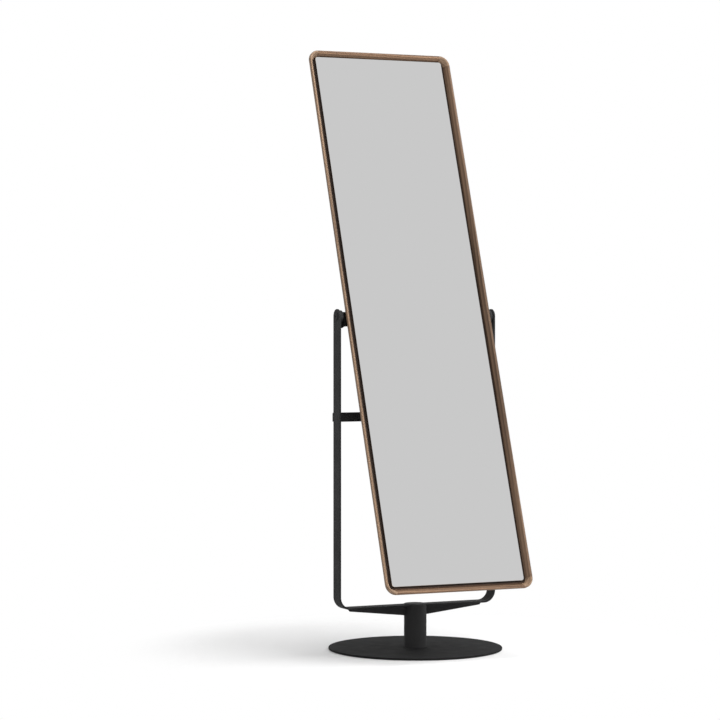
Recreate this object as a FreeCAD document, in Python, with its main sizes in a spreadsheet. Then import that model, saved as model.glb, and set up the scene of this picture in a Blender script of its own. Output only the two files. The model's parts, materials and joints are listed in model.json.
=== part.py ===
"""Standing mirror: a wooden framed glass that tilts between the arms of a steel yoke on a round base.

Millimetres, +Z up, +X to the right of someone facing the glass, front towards -Y.
The origin is on the floor, at the centre of the base. The mirror head is drawn upright about its
pivot axis and then leaned back to its rest angle.
"""
import FreeCAD, Part
import Sketcher
import os

DIMENSIONS = (
    # Wooden frame
    ("frame_width", 450, "outer width of the frame"),
    ("frame_height", 1596, "outer height of the frame"),
    ("frame_depth", 24, "front of the rim to the back of the frame"),
    ("corner_radius", 30, "outer corners of the frame"),
    ("rim_width", 6.8, "flat front of the moulding"),
    ("rim_round", 3, "rounding of the outer front edge"),
    ("rim_ease", 4, "rounding of the inner front edge"),
    ("lip_width", 15.6, "outer side to the foot of the inner slope"),
    ("lip_depth", 16.5, "rim to the foot of the inner slope, where the board lies"),
    ("side_depth", 10, "straight outer side, before the back tapers in"),
    ("back_taper", 10, "how far the back edge is set in from the outer side"),
    ("flange_reach", 26, "outer side to the inner edge of the rebate"),
    ("dowel_diameter", 5, "dowels in the corner joints"),
    ("dowel_length", 20, "half in the straight piece, half in the corner block"),
    ("dowel_inset", 7, "outer side to the dowel's axis"),
    # Glass and board
    ("glass_margin", 22.4, "outer side of the frame to the side edges of the glass"),
    ("glass_foot", 23, "bottom of the frame to the lower edge of the glass"),
    ("glass_head", 15.8, "top of the frame to the upper edge of the glass"),
    ("glass_thickness", 3, "mirror glass"),
    ("glass_arris", 1, "ground edge of the glass"),
    ("tape_thickness", 1.5, "foam tape between glass and board"),
    ("tape_width", 25, "one strip of tape"),
    ("tape_length", 1400, "one strip of tape"),
    ("tape_pitch", 150, "spacing of the strips"),
    ("board_thickness", 3.5, "board that carries the glass"),
    ("board_gap", 0.5, "play round the board"),
    # Small fasteners in the wood
    ("screw_line", 20, "outer side of the frame to the row of screws"),
    ("screw_pitch", 240, "spacing of the screws along a stile"),
    ("rail_pitch", 200, "spacing of the two screws in a rail"),
    ("screw_shank", 3, "shank of a wood screw"),
    ("screw_head", 6, "head of a wood screw"),
    ("screw_head_height", 2, "height of a wood screw's head"),
    ("screw_bite", 3, "depth of a screw in the board"),
    ("screw_play", 0.1, "play round a shank in its hole"),
    ("buffer_diameter", 14, "rubber buffers on the back of the frame"),
    ("buffer_height", 2, "height of a buffer"),
    ("buffer_round", 1, "rounded face of a buffer"),
    # Base and column
    ("base_diameter", 490, "round base plate"),
    ("base_thickness", 5, "round base plate"),
    ("base_ease", 0.6, "eased edges of the plate"),
    ("pad_thickness", 1.5, "sheet under the plate"),
    ("pad_inset", 6, "edge of the plate to the edge of the sheet"),
    ("column_diameter", 63.5, "outside of the column"),
    ("column_wall", 3, "wall of the column"),
    ("cap_thickness", 1.5, "disc on top of the column"),
    ("cap_ease", 0.5, "eased edge of the cap"),
    ("foot_thickness", 14, "plug in the bottom of the column"),
    ("bolt_circle", 34, "circle of the base bolts"),
    ("base_bolt", 8, "shank of a base bolt"),
    ("base_bolt_length", 16, "underside of the plate to the bolt's end"),
    ("base_bolt_head", 16, "countersunk head"),
    ("weld_gap", 0.05, "play between welded pieces"),
    # Yoke
    ("yoke_width", 490, "outside of one upright to the outside of the other"),
    ("yoke_foot", 122.5, "floor to the underside of the bar"),
    ("bar_width", 42, "flat bar, front to back"),
    ("bar_thickness", 5, "flat bar"),
    ("bend_radius", 35, "outside of the two bends"),
    ("gusset_thickness", 5, "plates under the bar"),
    ("gusset_reach", 204, "centre to the gusset's lower outer corner"),
    ("gusset_depth", 26, "depth of a gusset at the column"),
    ("gusset_tip", 7, "depth of a gusset at its outer end"),
    ("cross_height", 657, "floor to the middle of the cross bar"),
    ("cross_depth", 26, "cross bar, top to bottom"),
    ("cross_thickness", 6, "cross bar, front to back"),
    ("cross_round", 3, "rounded corners of the cross bar's ends"),
    # Pivots
    ("pivot_height", 938, "floor to the tilt axis"),
    ("front_reach", 28.5, "tilt axis to the front of the rim"),
    ("rest_tilt", 18.9, "lean of the head at rest, in degrees"),
    ("pivot_diameter", 8, "shoulder of a pivot bolt"),
    ("pivot_play", 0.05, "radial clearance of a lug on its bolt"),
    ("thread_diameter", 6, "thread of a pivot bolt"),
    ("head_diameter", 20, "flat head of a pivot bolt"),
    ("head_height", 3, "flat head of a pivot bolt"),
    ("head_ease", 0.8, "eased edge of the head"),
    ("socket_width", 5, "hexagon socket across its flats"),
    ("socket_depth", 2.2, "hexagon socket"),
    ("spacer_diameter", 35, "spacer on the inside of an upright"),
    ("spacer_length", 9, "spacer on the inside of an upright"),
    ("washer_diameter", 24, "friction washers"),
    ("washer_thickness", 0.9, "friction washers"),
    ("washer_gap", 0.1, "free play beside a lug"),
    ("spring_diameter", 16, "disc spring"),
    ("spring_thickness", 0.8, "disc spring"),
    ("spring_height", 1.4, "disc spring, pressed"),
    ("nut_width", 10, "lock nut across its flats"),
    ("nut_height", 6, "lock nut"),
    # Brackets
    ("plate_width", 16, "bracket's plate on the stile"),
    ("plate_top", -14, "pivot axis to the plate's upper edge"),
    ("plate_bottom", -76, "pivot axis to the plate's lower edge"),
    ("plate_thickness", 3, "bracket's plate"),
    ("lug_thickness", 4, "bracket's lug"),
    ("lug_width", 25, "bracket's lug, front to back"),
    ("lug_drop", 30, "pivot axis to the lug's lower edge"),
    ("lug_rise", 9.5, "pivot axis to the lug's upper edge"),
    ("lug_return", 4.5, "flange turned in from the lug's front edge"),
    ("lug_bend", 2, "outside of the bend between lug and flange"),
    ("lug_round", 4, "rounded back corners of the lug"),
    ("bracket_screw_top", -32, "pivot axis to the highest bracket screw"),
    ("bracket_screw_pitch", 18, "spacing of the bracket screws"),
)
BASE_BOLTS = 3
STILE_SCREWS = 6
RAIL_SCREWS = 2
BRACKET_SCREWS = 3
TAPE_STRIPS = 3
START, END, CENTRE = 1, 2, 3
ORIGIN = -1
UP = FreeCAD.Vector(0, 0, 1)
ACROSS = FreeCAD.Vector(1, 0, 0)
BACK = FreeCAD.Vector(0, 1, 0)

doc = FreeCAD.newDocument("standing_mirror")
sheet = doc.addObject("Spreadsheet::Sheet", "dims")
for row, (alias, value, note) in enumerate(DIMENSIONS, start=1):
    sheet.set(f"A{row}", note)
    sheet.set(f"B{row}", str(value))
    sheet.setAlias(f"B{row}", alias)
doc.recompute()
nodes = []


def number(expression):
    """The value of an expression over the sheet's cells."""
    return float(sheet.evalExpression(expression))


def keep(item, label, placement=None):
    """Name a finished sub-part and put it in its place."""
    item.Label = label
    if placement is not None:
        item.Placement = placement
    nodes.append(item)
    return item


def new_body(name):
    return doc.addObject("PartDesign::Body", name + "_body")


def new_sketch(body, role, offset=None):
    """A sketch on one of the body's own planes, lifted along the plane's normal by an expression."""
    sketch = body.newObject("Sketcher::SketchObject", body.Name + "_sketch")
    plane = next(item for item in body.Origin.OriginFeatures if item.Role == role)
    sketch.AttachmentSupport = (plane, "")
    sketch.MapMode = "FlatFace"
    if offset is not None:
        sketch.setExpression("AttachmentOffset.Base.z", offset)
    return sketch


def bind_point(sketch, element, point, x, y):
    """Tie a sketch point's coordinates to expressions."""
    for kind, expression in (("DistanceX", x), ("DistanceY", y)):
        constraint = Sketcher.Constraint(kind, ORIGIN, START, element, point, number(expression))
        index = sketch.addConstraint(constraint)
        sketch.setExpression(f"Constraints[{index}]", expression)


def polygon(sketch, corners):
    """A closed outline whose corners are pairs of expressions."""
    first = sketch.GeometryCount
    count = len(corners)
    points = [FreeCAD.Vector(number(x), number(y), 0) for x, y in corners]
    for i in range(count):
        sketch.addGeometry(Part.LineSegment(points[i], points[(i + 1) % count]), False)
    for i, (x, y) in enumerate(corners):
        following = first + (i + 1) % count
        sketch.addConstraint(Sketcher.Constraint("Coincident", first + i, END, following, START))
        bind_point(sketch, first + i, START, x, y)


def rectangle(sketch, left, right, low, high):
    polygon(sketch, ((left, low), (right, low), (right, high), (left, high)))


def centred_rectangle(sketch, width, height):
    rectangle(sketch, f"-({width}) / 2", f"({width}) / 2", f"-({height}) / 2", f"({height}) / 2")


def circle(sketch, diameter, x="0", y="0"):
    centre = FreeCAD.Vector(number(x), number(y), 0)
    element = sketch.addGeometry(Part.Circle(centre, UP, number(diameter) / 2), False)
    index = sketch.addConstraint(Sketcher.Constraint("Diameter", element, number(diameter)))
    sketch.setExpression(f"Constraints[{index}]", diameter)
    bind_point(sketch, element, CENTRE, x, y)


def hexagon(sketch, flats):
    """A hexagon about the sketch's origin, sized across its flats."""
    corners = []
    for i in range(6):
        corners.append((f"{flats} / sqrt(3) * cos({60 * i})", f"{flats} / sqrt(3) * sin({60 * i})"))
    polygon(sketch, corners)


def extrude(kind, body, sketch, length, symmetric=False, reverse=False):
    feature = body.newObject(f"PartDesign::{kind}", f"{body.Name}_{kind.lower()}")
    feature.Profile = sketch
    if length is None:
        feature.Type = "ThroughAll"
    else:
        feature.setExpression("Length", length)
    if symmetric:
        feature.SideType = "Symmetric"
    feature.Reversed = reverse
    doc.recompute()
    return feature


def pad(body, sketch, length, **options):
    return extrude("Pad", body, sketch, length, **options)


def pocket(body, sketch, length=None, **options):
    """A cut, to a depth or right through, that has to remove material."""
    before = body.Shape.Volume
    feature = extrude("Pocket", body, sketch, length, **options)
    if body.Shape.Volume > before - 1e-6:
        raise RuntimeError(f"{feature.Name} cuts nothing")
    return feature


def revolve(body, sketch, axis, angle="360"):
    feature = body.newObject("PartDesign::Revolution", body.Name + "_revolution")
    feature.Profile = sketch
    feature.ReferenceAxis = (sketch, [axis])
    feature.setExpression("Angle", angle)
    doc.recompute()
    return feature


def dress(kind, body, size, test):
    """A fillet or chamfer on every edge of the body whose middle passes the test."""
    base = body.Tip
    names = []
    for index, edge in enumerate(base.Shape.Edges, start=1):
        middle = edge.valueAt((edge.FirstParameter + edge.LastParameter) / 2)
        if test(edge, middle):
            names.append(f"Edge{index}")
    if not names:
        raise RuntimeError(f"{body.Name} has no edge to {kind.lower()}")
    feature = body.newObject(f"PartDesign::{kind}", f"{body.Name}_{kind.lower()}")
    feature.Base = (base, names)
    feature.setExpression("Radius" if kind == "Fillet" else "Size", size)
    doc.recompute()
    return feature


def is_near(value, target):
    return abs(value - target) < 1e-4


def is_line_along(edge, axis):
    if not isinstance(edge.Curve, Part.Line):
        return False
    return is_near(abs(edge.Curve.Direction.dot(axis)), 1)


def at(x=0, y=0, z=0, axis=UP, angle=0):
    return FreeCAD.Placement(FreeCAD.Vector(x, y, z), FreeCAD.Rotation(axis, angle))


def in_head(x=0, y=0, z=0, axis=UP, angle=0):
    """A place in the upright head, measured from the middle of the tilt axis, as it lies at rest."""
    lean = at(0, 0, number("dims.pivot_height"), ACROSS, -number("dims.rest_tilt"))
    return lean.multiply(at(x, y, z, axis, angle))


def on_pivot(side):
    """Local +Z runs outwards along the tilt axis, from the object's middle."""
    return at(0, 0, number("dims.pivot_height"), BACK, 90 * side)


def cylinder(name, diameter, length, x="0", y="0", z="0"):
    item = doc.addObject("Part::Cylinder", name)
    item.setExpression("Radius", f"({diameter}) / 2")
    item.setExpression("Height", length)
    for letter, expression in (("x", x), ("y", y), ("z", z)):
        item.setExpression(f"Placement.Base.{letter}", expression)
    return item


def fused(name, first, second):
    item = doc.addObject("Part::Fuse", name)
    item.Base = first
    item.Tool = second
    return item


def group(label, items, placement):
    """Like pieces that share one node."""
    bunch = doc.addObject("Part::Compound", label + "_group")
    bunch.Links = items
    return keep(bunch, label, placement)


def spread(index, count, pitch):
    """Place of one item in a row that is centred on zero."""
    return f"({index - (count - 1) / 2}) * {pitch}"


PLATE_TOP = "(dims.pad_thickness + dims.base_thickness)"
BAR_TOP = "(dims.yoke_foot + dims.bar_thickness)"
STILE_LENGTH = "(dims.frame_height - 2 * dims.corner_radius)"
RAIL_LENGTH = "(dims.frame_width - 2 * dims.corner_radius)"
BOARD_BACK = "(dims.lip_depth + dims.board_thickness)"
INNER_FACE = "(dims.yoke_width / 2 - dims.bar_thickness)"
LUG_OUTSIDE = "({} - dims.spacer_length - dims.washer_thickness - dims.washer_gap)".format(INNER_FACE)
LUG_INSIDE = f"({LUG_OUTSIDE} - dims.lug_thickness)"
SPRING_FACE = f"({LUG_INSIDE} - dims.washer_gap - dims.washer_thickness)"
NUT_FACE = f"({SPRING_FACE} - dims.spring_height)"


# Base and column

def make_floor_pad():
    body = new_body("floor_pad")
    sketch = new_sketch(body, "XY_Plane")
    circle(sketch, "dims.base_diameter - 2 * dims.pad_inset")
    pad(body, sketch, "dims.pad_thickness")
    keep(body, "floor_pad")


def bolt_places(sketch, diameter):
    for i in range(BASE_BOLTS):
        turn = 360 * i / BASE_BOLTS
        circle(sketch, diameter, f"dims.bolt_circle / 2 * cos({turn})", f"dims.bolt_circle / 2 * sin({turn})")


def make_base_plate():
    """Round plate, countersunk from below for the bolts of the column."""
    body = new_body("base_plate")
    sketch = new_sketch(body, "XY_Plane")
    circle(sketch, "dims.base_diameter")
    pad(body, sketch, "dims.base_thickness")
    sketch = new_sketch(body, "XY_Plane")
    bolt_places(sketch, "dims.base_bolt + 2 * dims.screw_play")
    pocket(body, sketch, reverse=True)
    rim = number("dims.base_diameter / 2")
    hole = number("dims.base_bolt / 2 + dims.screw_play")
    dress("Chamfer", body, "(dims.base_bolt_head - dims.base_bolt) / 2",
          lambda edge, middle: is_near(middle.z, 0) and is_near(edge.Curve.Radius, hole))
    dress("Chamfer", body, "dims.base_ease",
          lambda edge, middle: isinstance(edge.Curve, Part.Circle) and is_near(edge.Curve.Radius, rim))
    keep(body, "base_plate", at(z=number("dims.pad_thickness")))


def make_base_bolts():
    bolts = []
    for i in range(BASE_BOLTS):
        turn = 360 * i / BASE_BOLTS
        x = f"dims.bolt_circle / 2 * cos({turn})"
        y = f"dims.bolt_circle / 2 * sin({turn})"
        shank = cylinder(f"base_bolt_shank_{i}", "dims.base_bolt", "dims.base_bolt_length", x, y)
        head = doc.addObject("Part::Cone", f"base_bolt_head_{i}")
        head.setExpression("Radius1", "dims.base_bolt_head / 2")
        head.setExpression("Radius2", "dims.base_bolt / 2")
        head.setExpression("Height", "(dims.base_bolt_head - dims.base_bolt) / 2")
        head.setExpression("Placement.Base.x", x)
        head.setExpression("Placement.Base.y", y)
        bolts.append(fused(f"base_bolt_{i}", head, shank))
    group("base_bolts", bolts, at(z=number("dims.pad_thickness")))


def make_column_foot():
    body = new_body("column_foot")
    sketch = new_sketch(body, "XY_Plane")
    circle(sketch, "dims.column_diameter - 2 * dims.column_wall - 2 * dims.weld_gap")
    pad(body, sketch, "dims.foot_thickness")
    sketch = new_sketch(body, "XY_Plane")
    bolt_places(sketch, "dims.base_bolt + 2 * dims.screw_play")
    pocket(body, sketch, reverse=True)
    keep(body, "column_foot", at(z=number(PLATE_TOP)))


def make_column_tube():
    """Tube with a slot across its top, where the yoke's bar lies."""
    body = new_body("column_tube")
    sketch = new_sketch(body, "XY_Plane")
    circle(sketch, "dims.column_diameter")
    circle(sketch, "dims.column_diameter - 2 * dims.column_wall")
    height = f"({BAR_TOP} - {PLATE_TOP})"
    pad(body, sketch, height)
    slot = new_sketch(body, "XY_Plane", height)
    centred_rectangle(slot, "2 * dims.column_diameter", "dims.bar_width + 2 * dims.weld_gap")
    pocket(body, slot, "dims.bar_thickness + dims.weld_gap")
    keep(body, "column_tube", at(z=number(PLATE_TOP)))


def make_column_cap():
    body = new_body("column_cap")
    sketch = new_sketch(body, "XY_Plane")
    circle(sketch, "dims.column_diameter")
    pad(body, sketch, "dims.cap_thickness")
    top = number("dims.cap_thickness")
    dress("Fillet", body, "dims.cap_ease", lambda edge, middle: is_near(middle.z, top))
    keep(body, "column_cap", at(z=number(BAR_TOP)))


# Yoke

def make_yoke_bar():
    """Flat bar bent into a U, with round ends about the tilt axis."""
    body = new_body("yoke_bar")
    sketch = new_sketch(body, "XZ_Plane")
    outer = "dims.yoke_width / 2"
    low = "dims.yoke_foot"
    high = "dims.pivot_height"
    polygon(sketch, (
        (f"-{outer}", high), (f"-{outer}", low), (outer, low), (outer, high),
        (INNER_FACE, high), (INNER_FACE, BAR_TOP), (f"-{INNER_FACE}", BAR_TOP), (f"-{INNER_FACE}", high)))
    pad(body, sketch, "dims.bar_width", symmetric=True)
    bar_foot = number(low)
    bar_top = number(BAR_TOP)
    side = number(outer)
    dress("Fillet", body, "dims.bend_radius", lambda edge, middle:
          is_line_along(edge, BACK) and is_near(middle.z, bar_foot) and is_near(abs(middle.x), side))
    inside = number(INNER_FACE)
    dress("Fillet", body, "dims.bend_radius - dims.bar_thickness", lambda edge, middle:
          is_line_along(edge, BACK) and is_near(middle.z, bar_top) and is_near(abs(middle.x), inside))
    for face in (INNER_FACE, f"-{outer}"):
        end = new_sketch(body, "YZ_Plane", face)
        circle(end, "dims.bar_width", "0", high)
        pad(body, end, "dims.bar_thickness")
    hole = new_sketch(body, "YZ_Plane")
    circle(hole, "dims.pivot_diameter + 2 * dims.screw_play", "0", high)
    pocket(body, hole, "dims.yoke_width + dims.bar_thickness", symmetric=True)
    keep(body, "yoke_bar")


def make_gusset(side, label):
    """Tapered plate on edge between the column and the bend."""
    body = new_body(label)
    sketch = new_sketch(body, "XZ_Plane")
    inner = "dims.column_diameter / 2"
    tip = "dims.gusset_reach"
    under = "dims.yoke_foot"
    outline = ((inner, under), (inner, f"{under} - dims.gusset_depth"), (tip, f"{under} - dims.gusset_tip"),
               ("dims.yoke_width / 2 - dims.bend_radius", under))
    polygon(sketch, [(f"{side} * ({x})", y) for x, y in outline])
    pad(body, sketch, "dims.gusset_thickness", symmetric=True)
    keep(body, label)


def make_cross_bar():
    """Flat bar welded across the back edges of the uprights."""
    body = new_body("cross_bar")
    sketch = new_sketch(body, "XZ_Plane", "-dims.bar_width / 2")
    rectangle(sketch, "-dims.yoke_width / 2", "dims.yoke_width / 2",
              "dims.cross_height - dims.cross_depth / 2", "dims.cross_height + dims.cross_depth / 2")
    pad(body, sketch, "dims.cross_thickness", reverse=True)
    dress("Fillet", body, "dims.cross_round", lambda edge, middle: is_line_along(edge, BACK))
    keep(body, "cross_bar")


# Pivots, drawn along local +Z and turned outwards on each side

def ring(label, side, outer, inner, start, length):
    body = new_body(label)
    sketch = new_sketch(body, "XY_Plane", start)
    circle(sketch, outer)
    circle(sketch, inner)
    pad(body, sketch, length)
    keep(body, label, on_pivot(side))


def make_pivot_bolt(side, label):
    """Shoulder bolt put in from outside, with its thread inside for the lock nut."""
    body = new_body(label)
    sketch = new_sketch(body, "XZ_Plane")
    seat = "dims.yoke_width / 2"
    shoulder = f"({NUT_FACE} + dims.spring_height / 2)"
    tail = f"({NUT_FACE} - dims.nut_height - 1)"
    polygon(sketch, (
        ("0", tail), ("dims.thread_diameter / 2", tail), ("dims.thread_diameter / 2", shoulder),
        ("dims.pivot_diameter / 2", shoulder), ("dims.pivot_diameter / 2", seat),
        ("dims.head_diameter / 2", seat), ("dims.head_diameter / 2", f"{seat} + dims.head_height"),
        ("0", f"{seat} + dims.head_height")))
    revolve(body, sketch, "V_Axis")
    rim = number("dims.head_diameter / 2")
    face = number(f"{seat} + dims.head_height")
    dress("Fillet", body, "dims.head_ease", lambda edge, middle:
          is_near(middle.z, face) and is_near(middle.x ** 2 + middle.y ** 2, rim ** 2))
    socket = new_sketch(body, "XY_Plane", f"{seat} + dims.head_height")
    hexagon(socket, "dims.socket_width")
    pocket(body, socket, "dims.socket_depth")
    keep(body, label, on_pivot(side))


def make_disc_spring(side, label):
    """Shallow cone washer, pressed between the nut and the inner friction washer."""
    body = new_body(label)
    sketch = new_sketch(body, "XZ_Plane")
    bore = "dims.pivot_diameter / 2 + dims.screw_play"
    edge = "dims.spring_diameter / 2"
    rise = "dims.spring_height - dims.spring_thickness"
    polygon(sketch, (
        (bore, NUT_FACE), (edge, f"{NUT_FACE} + {rise}"),
        (edge, SPRING_FACE), (bore, f"{NUT_FACE} + dims.spring_thickness")))
    revolve(body, sketch, "V_Axis")
    keep(body, label, on_pivot(side))


def make_lock_nut(side, label):
    body = new_body(label)
    sketch = new_sketch(body, "XY_Plane", f"{NUT_FACE} - dims.nut_height")
    hexagon(sketch, "dims.nut_width")
    circle(sketch, "dims.thread_diameter + 2 * dims.weld_gap")
    pad(body, sketch, "dims.nut_height")
    keep(body, label, on_pivot(side))


def make_pivot(side, hand):
    bore = "dims.pivot_diameter + 2 * dims.screw_play"
    make_pivot_bolt(side, f"pivot_bolt_{hand}")
    ring(f"pivot_spacer_{hand}", side, "dims.spacer_diameter", bore,
         f"{INNER_FACE} - dims.spacer_length", "dims.spacer_length")
    ring(f"outer_washer_{hand}", side, "dims.washer_diameter", bore,
         f"{LUG_OUTSIDE} + dims.washer_gap", "dims.washer_thickness")
    ring(f"inner_washer_{hand}", side, "dims.spring_diameter", bore, SPRING_FACE, "dims.washer_thickness")
    make_disc_spring(side, f"disc_spring_{hand}")
    make_lock_nut(side, f"lock_nut_{hand}")


# Mirror head, drawn upright with its tilt axis through the origin

def moulding_section(sketch, shift="0"):
    """Section of the frame: x inwards from the outer side, y backwards from the rim."""
    corners = (
        ("0", "0"), ("dims.rim_width", "0"), ("dims.lip_width", "dims.lip_depth"),
        ("dims.lip_width", BOARD_BACK), ("dims.flange_reach", BOARD_BACK),
        ("dims.flange_reach", "dims.frame_depth"), ("dims.back_taper", "dims.frame_depth"),
        ("0", "dims.side_depth"))
    polygon(sketch, [(f"{x} - {shift}", y) for x, y in corners])


def make_straight(label, turn, length, count, pitch, start, bracket=False):
    """A stile or a rail, with dowel holes in its ends and screw holes in its rebate."""
    body = new_body(label)
    sketch = new_sketch(body, "XY_Plane")
    moulding_section(sketch)
    pad(body, sketch, length)
    dress("Fillet", body, "dims.rim_round", lambda edge, middle:
          is_line_along(edge, UP) and is_near(middle.x, 0) and is_near(middle.y, 0))
    inner_rim = number("dims.rim_width")
    dress("Fillet", body, "dims.rim_ease", lambda edge, middle:
          is_line_along(edge, UP) and is_near(middle.x, inner_rim) and is_near(middle.y, 0))
    for offset, inwards in (("0", True), (length, False)):
        dowel = new_sketch(body, "XY_Plane", offset)
        circle(dowel, "dims.dowel_diameter + 2 * dims.weld_gap", "dims.dowel_inset", "dims.side_depth")
        pocket(body, dowel, "dims.dowel_length / 2 + dims.weld_gap", reverse=inwards)
    holes = new_sketch(body, "XZ_Plane")
    for i in range(count):
        circle(holes, "dims.screw_shank + 2 * dims.screw_play", "dims.screw_line",
               f"{length} / 2 + {spread(i, count, pitch)}")
    if bracket:
        way = 1 if turn == 0 else -1
        for i in range(BRACKET_SCREWS):
            circle(holes, "dims.screw_shank + 2 * dims.screw_play", "dims.screw_line",
                   f"{length} / 2 + {way} * (dims.bracket_screw_top - {i} * dims.bracket_screw_pitch)")
    pocket(body, holes, "4 * dims.frame_depth", symmetric=True)
    x, z = start
    keep(body, label, in_head(number(x), -number("dims.front_reach"), number(z), BACK, turn))


def make_corner(label, turn, x, z):
    """Corner block: the same section carried round a quarter circle."""
    body = new_body(label)
    sketch = new_sketch(body, "XY_Plane")
    moulding_section(sketch, "dims.corner_radius")
    revolve(body, sketch, "V_Axis", "90")
    outer = number("dims.corner_radius")
    inner_rim = number("dims.corner_radius - dims.rim_width")
    for size, radius in (("dims.rim_round", outer), ("dims.rim_ease", inner_rim)):
        dress("Fillet", body, size, lambda edge, middle: isinstance(edge.Curve, Part.Circle)
              and is_near(edge.Curve.Radius, radius) and is_near(middle.y, 0))
    bore = "dims.dowel_diameter + 2 * dims.weld_gap"
    depth = "dims.dowel_length / 2 + dims.weld_gap"
    first = new_sketch(body, "XY_Plane")
    circle(first, bore, "dims.dowel_inset - dims.corner_radius", "dims.side_depth")
    pocket(body, first, depth, reverse=True)
    last = new_sketch(body, "YZ_Plane")
    circle(last, bore, "dims.side_depth", "dims.corner_radius - dims.dowel_inset")
    pocket(body, last, depth)
    keep(body, label, in_head(number(x), -number("dims.front_reach"), number(z), BACK, turn))


def make_frame():
    """Four straight pieces and four corner blocks, clockwise from the left stile."""
    half_width = "dims.frame_width / 2"
    half_height = "dims.frame_height / 2"
    stile = (STILE_LENGTH, STILE_SCREWS, "dims.screw_pitch")
    rail = (RAIL_LENGTH, RAIL_SCREWS, "dims.rail_pitch")
    make_straight("stile_left", 0, *stile, (f"-{half_width}", f"-{STILE_LENGTH} / 2"), bracket=True)
    make_straight("rail_top", 90, *rail, (f"-{RAIL_LENGTH} / 2", half_height))
    make_straight("stile_right", 180, *stile, (half_width, f"{STILE_LENGTH} / 2"), bracket=True)
    make_straight("rail_bottom", 270, *rail, (f"{RAIL_LENGTH} / 2", f"-{half_height}"))
    right, top = f"{RAIL_LENGTH} / 2", f"{STILE_LENGTH} / 2"
    make_corner("corner_top_left", 0, f"-{right}", top)
    make_corner("corner_top_right", 90, right, top)
    make_corner("corner_bottom_right", 180, right, f"-{top}")
    make_corner("corner_bottom_left", 270, f"-{right}", f"-{top}")


def make_corner_dowels():
    """Two dowels at each corner, one along the stile and one along the rail."""
    dowels = []
    half = "dims.dowel_length / 2"
    depth = "dims.side_depth - dims.front_reach"
    for across in (-1, 1):
        for up in (-1, 1):
            name = f"dowel_{across + 1}_{up + 1}"
            upright = cylinder(name + "_stile", "dims.dowel_diameter", "dims.dowel_length",
                               f"{across} * (dims.frame_width / 2 - dims.dowel_inset)", depth,
                               f"{up} * {STILE_LENGTH} / 2 - {half}")
            level = cylinder(name + "_rail", "dims.dowel_diameter", "dims.dowel_length",
                             f"{across} * {RAIL_LENGTH} / 2 - {half}", depth,
                             f"{up} * (dims.frame_height / 2 - dims.dowel_inset)")
            level.Placement.Rotation = FreeCAD.Rotation(BACK, 90)
            dowels += [upright, level]
    group("corner_dowels", dowels, in_head())


def panel(label, margin, foot, head, front, thickness):
    """A flat panel with rounded corners, set in from the sides, the bottom and the top of the frame."""
    body = new_body(label)
    sketch = new_sketch(body, "XZ_Plane", f"dims.front_reach - ({front})")
    half_width = f"(dims.frame_width / 2 - ({margin}))"
    rectangle(sketch, f"-{half_width}", half_width,
              f"({foot}) - dims.frame_height / 2", f"dims.frame_height / 2 - ({head})")
    pad(body, sketch, thickness, reverse=True)
    dress("Fillet", body, f"dims.corner_radius - ({margin})", lambda edge, middle: is_line_along(edge, BACK))
    return body


def board_screw_places():
    """Places of the screws that hold the board, across and up from the tilt axis."""
    places = []
    for across in (-1, 1):
        for i in range(STILE_SCREWS):
            places.append((f"{across} * (dims.frame_width / 2 - dims.screw_line)",
                           spread(i, STILE_SCREWS, "dims.screw_pitch")))
        for i in range(RAIL_SCREWS):
            places.append((spread(i, RAIL_SCREWS, "dims.rail_pitch"),
                           f"{across} * (dims.frame_height / 2 - dims.screw_line)"))
    return places


def bracket_screw_places():
    places = []
    for across in (-1, 1):
        for i in range(BRACKET_SCREWS):
            places.append((f"{across} * (dims.frame_width / 2 - dims.screw_line)",
                           f"dims.bracket_screw_top - {i} * dims.bracket_screw_pitch"))
    return places


def make_back_board():
    margin = "dims.lip_width + dims.board_gap"
    body = panel("back_board", margin, margin, margin, "dims.lip_depth", "dims.board_thickness")
    pilots = new_sketch(body, "XZ_Plane", f"dims.front_reach - {BOARD_BACK}")
    for x, z in board_screw_places() + bracket_screw_places():
        circle(pilots, "dims.screw_shank + 2 * dims.screw_play", x, z)
    pocket(body, pilots, "dims.screw_bite + dims.screw_play", reverse=True)
    keep(body, "back_board", in_head())


def make_mirror_glass():
    front = "dims.lip_depth - dims.tape_thickness - dims.glass_thickness"
    body = panel("mirror_glass", "dims.glass_margin", "dims.glass_foot", "dims.glass_head",
                 front, "dims.glass_thickness")
    face = number(f"{front} - dims.front_reach")
    dress("Chamfer", body, "dims.glass_arris", lambda edge, middle: is_near(middle.y, face))
    keep(body, "mirror_glass", in_head())


def make_glass_tape():
    strips = []
    for i in range(TAPE_STRIPS):
        strip = doc.addObject("Part::Box", f"tape_{i}")
        strip.setExpression("Length", "dims.tape_width")
        strip.setExpression("Width", "dims.tape_thickness")
        strip.setExpression("Height", "dims.tape_length")
        left = f"{spread(i, TAPE_STRIPS, 'dims.tape_pitch')} - dims.tape_width / 2"
        strip.setExpression("Placement.Base.x", left)
        strip.setExpression("Placement.Base.y", "dims.lip_depth - dims.tape_thickness - dims.front_reach")
        strip.setExpression("Placement.Base.z", "-dims.tape_length / 2")
        strips.append(strip)
    group("glass_tape", strips, in_head())


def make_screws(label, places, seat):
    """Wood screws driven forwards from a seat behind the frame into the board."""
    screws = []
    reach = f"({seat} - {BOARD_BACK} + dims.screw_bite)"
    for i, (x, z) in enumerate(places):
        shank = cylinder(f"{label}_shank_{i}", "dims.screw_shank", reach, x, f"{seat} - dims.front_reach", z)
        head = cylinder(f"{label}_head_{i}", "dims.screw_head", "dims.screw_head_height",
                        x, f"{seat} + dims.screw_head_height - dims.front_reach", z)
        for item in (shank, head):
            item.Placement.Rotation = FreeCAD.Rotation(ACROSS, 90)
        screws.append(fused(f"{label}_{i}", shank, head))
    group(label, screws, in_head())


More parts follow.
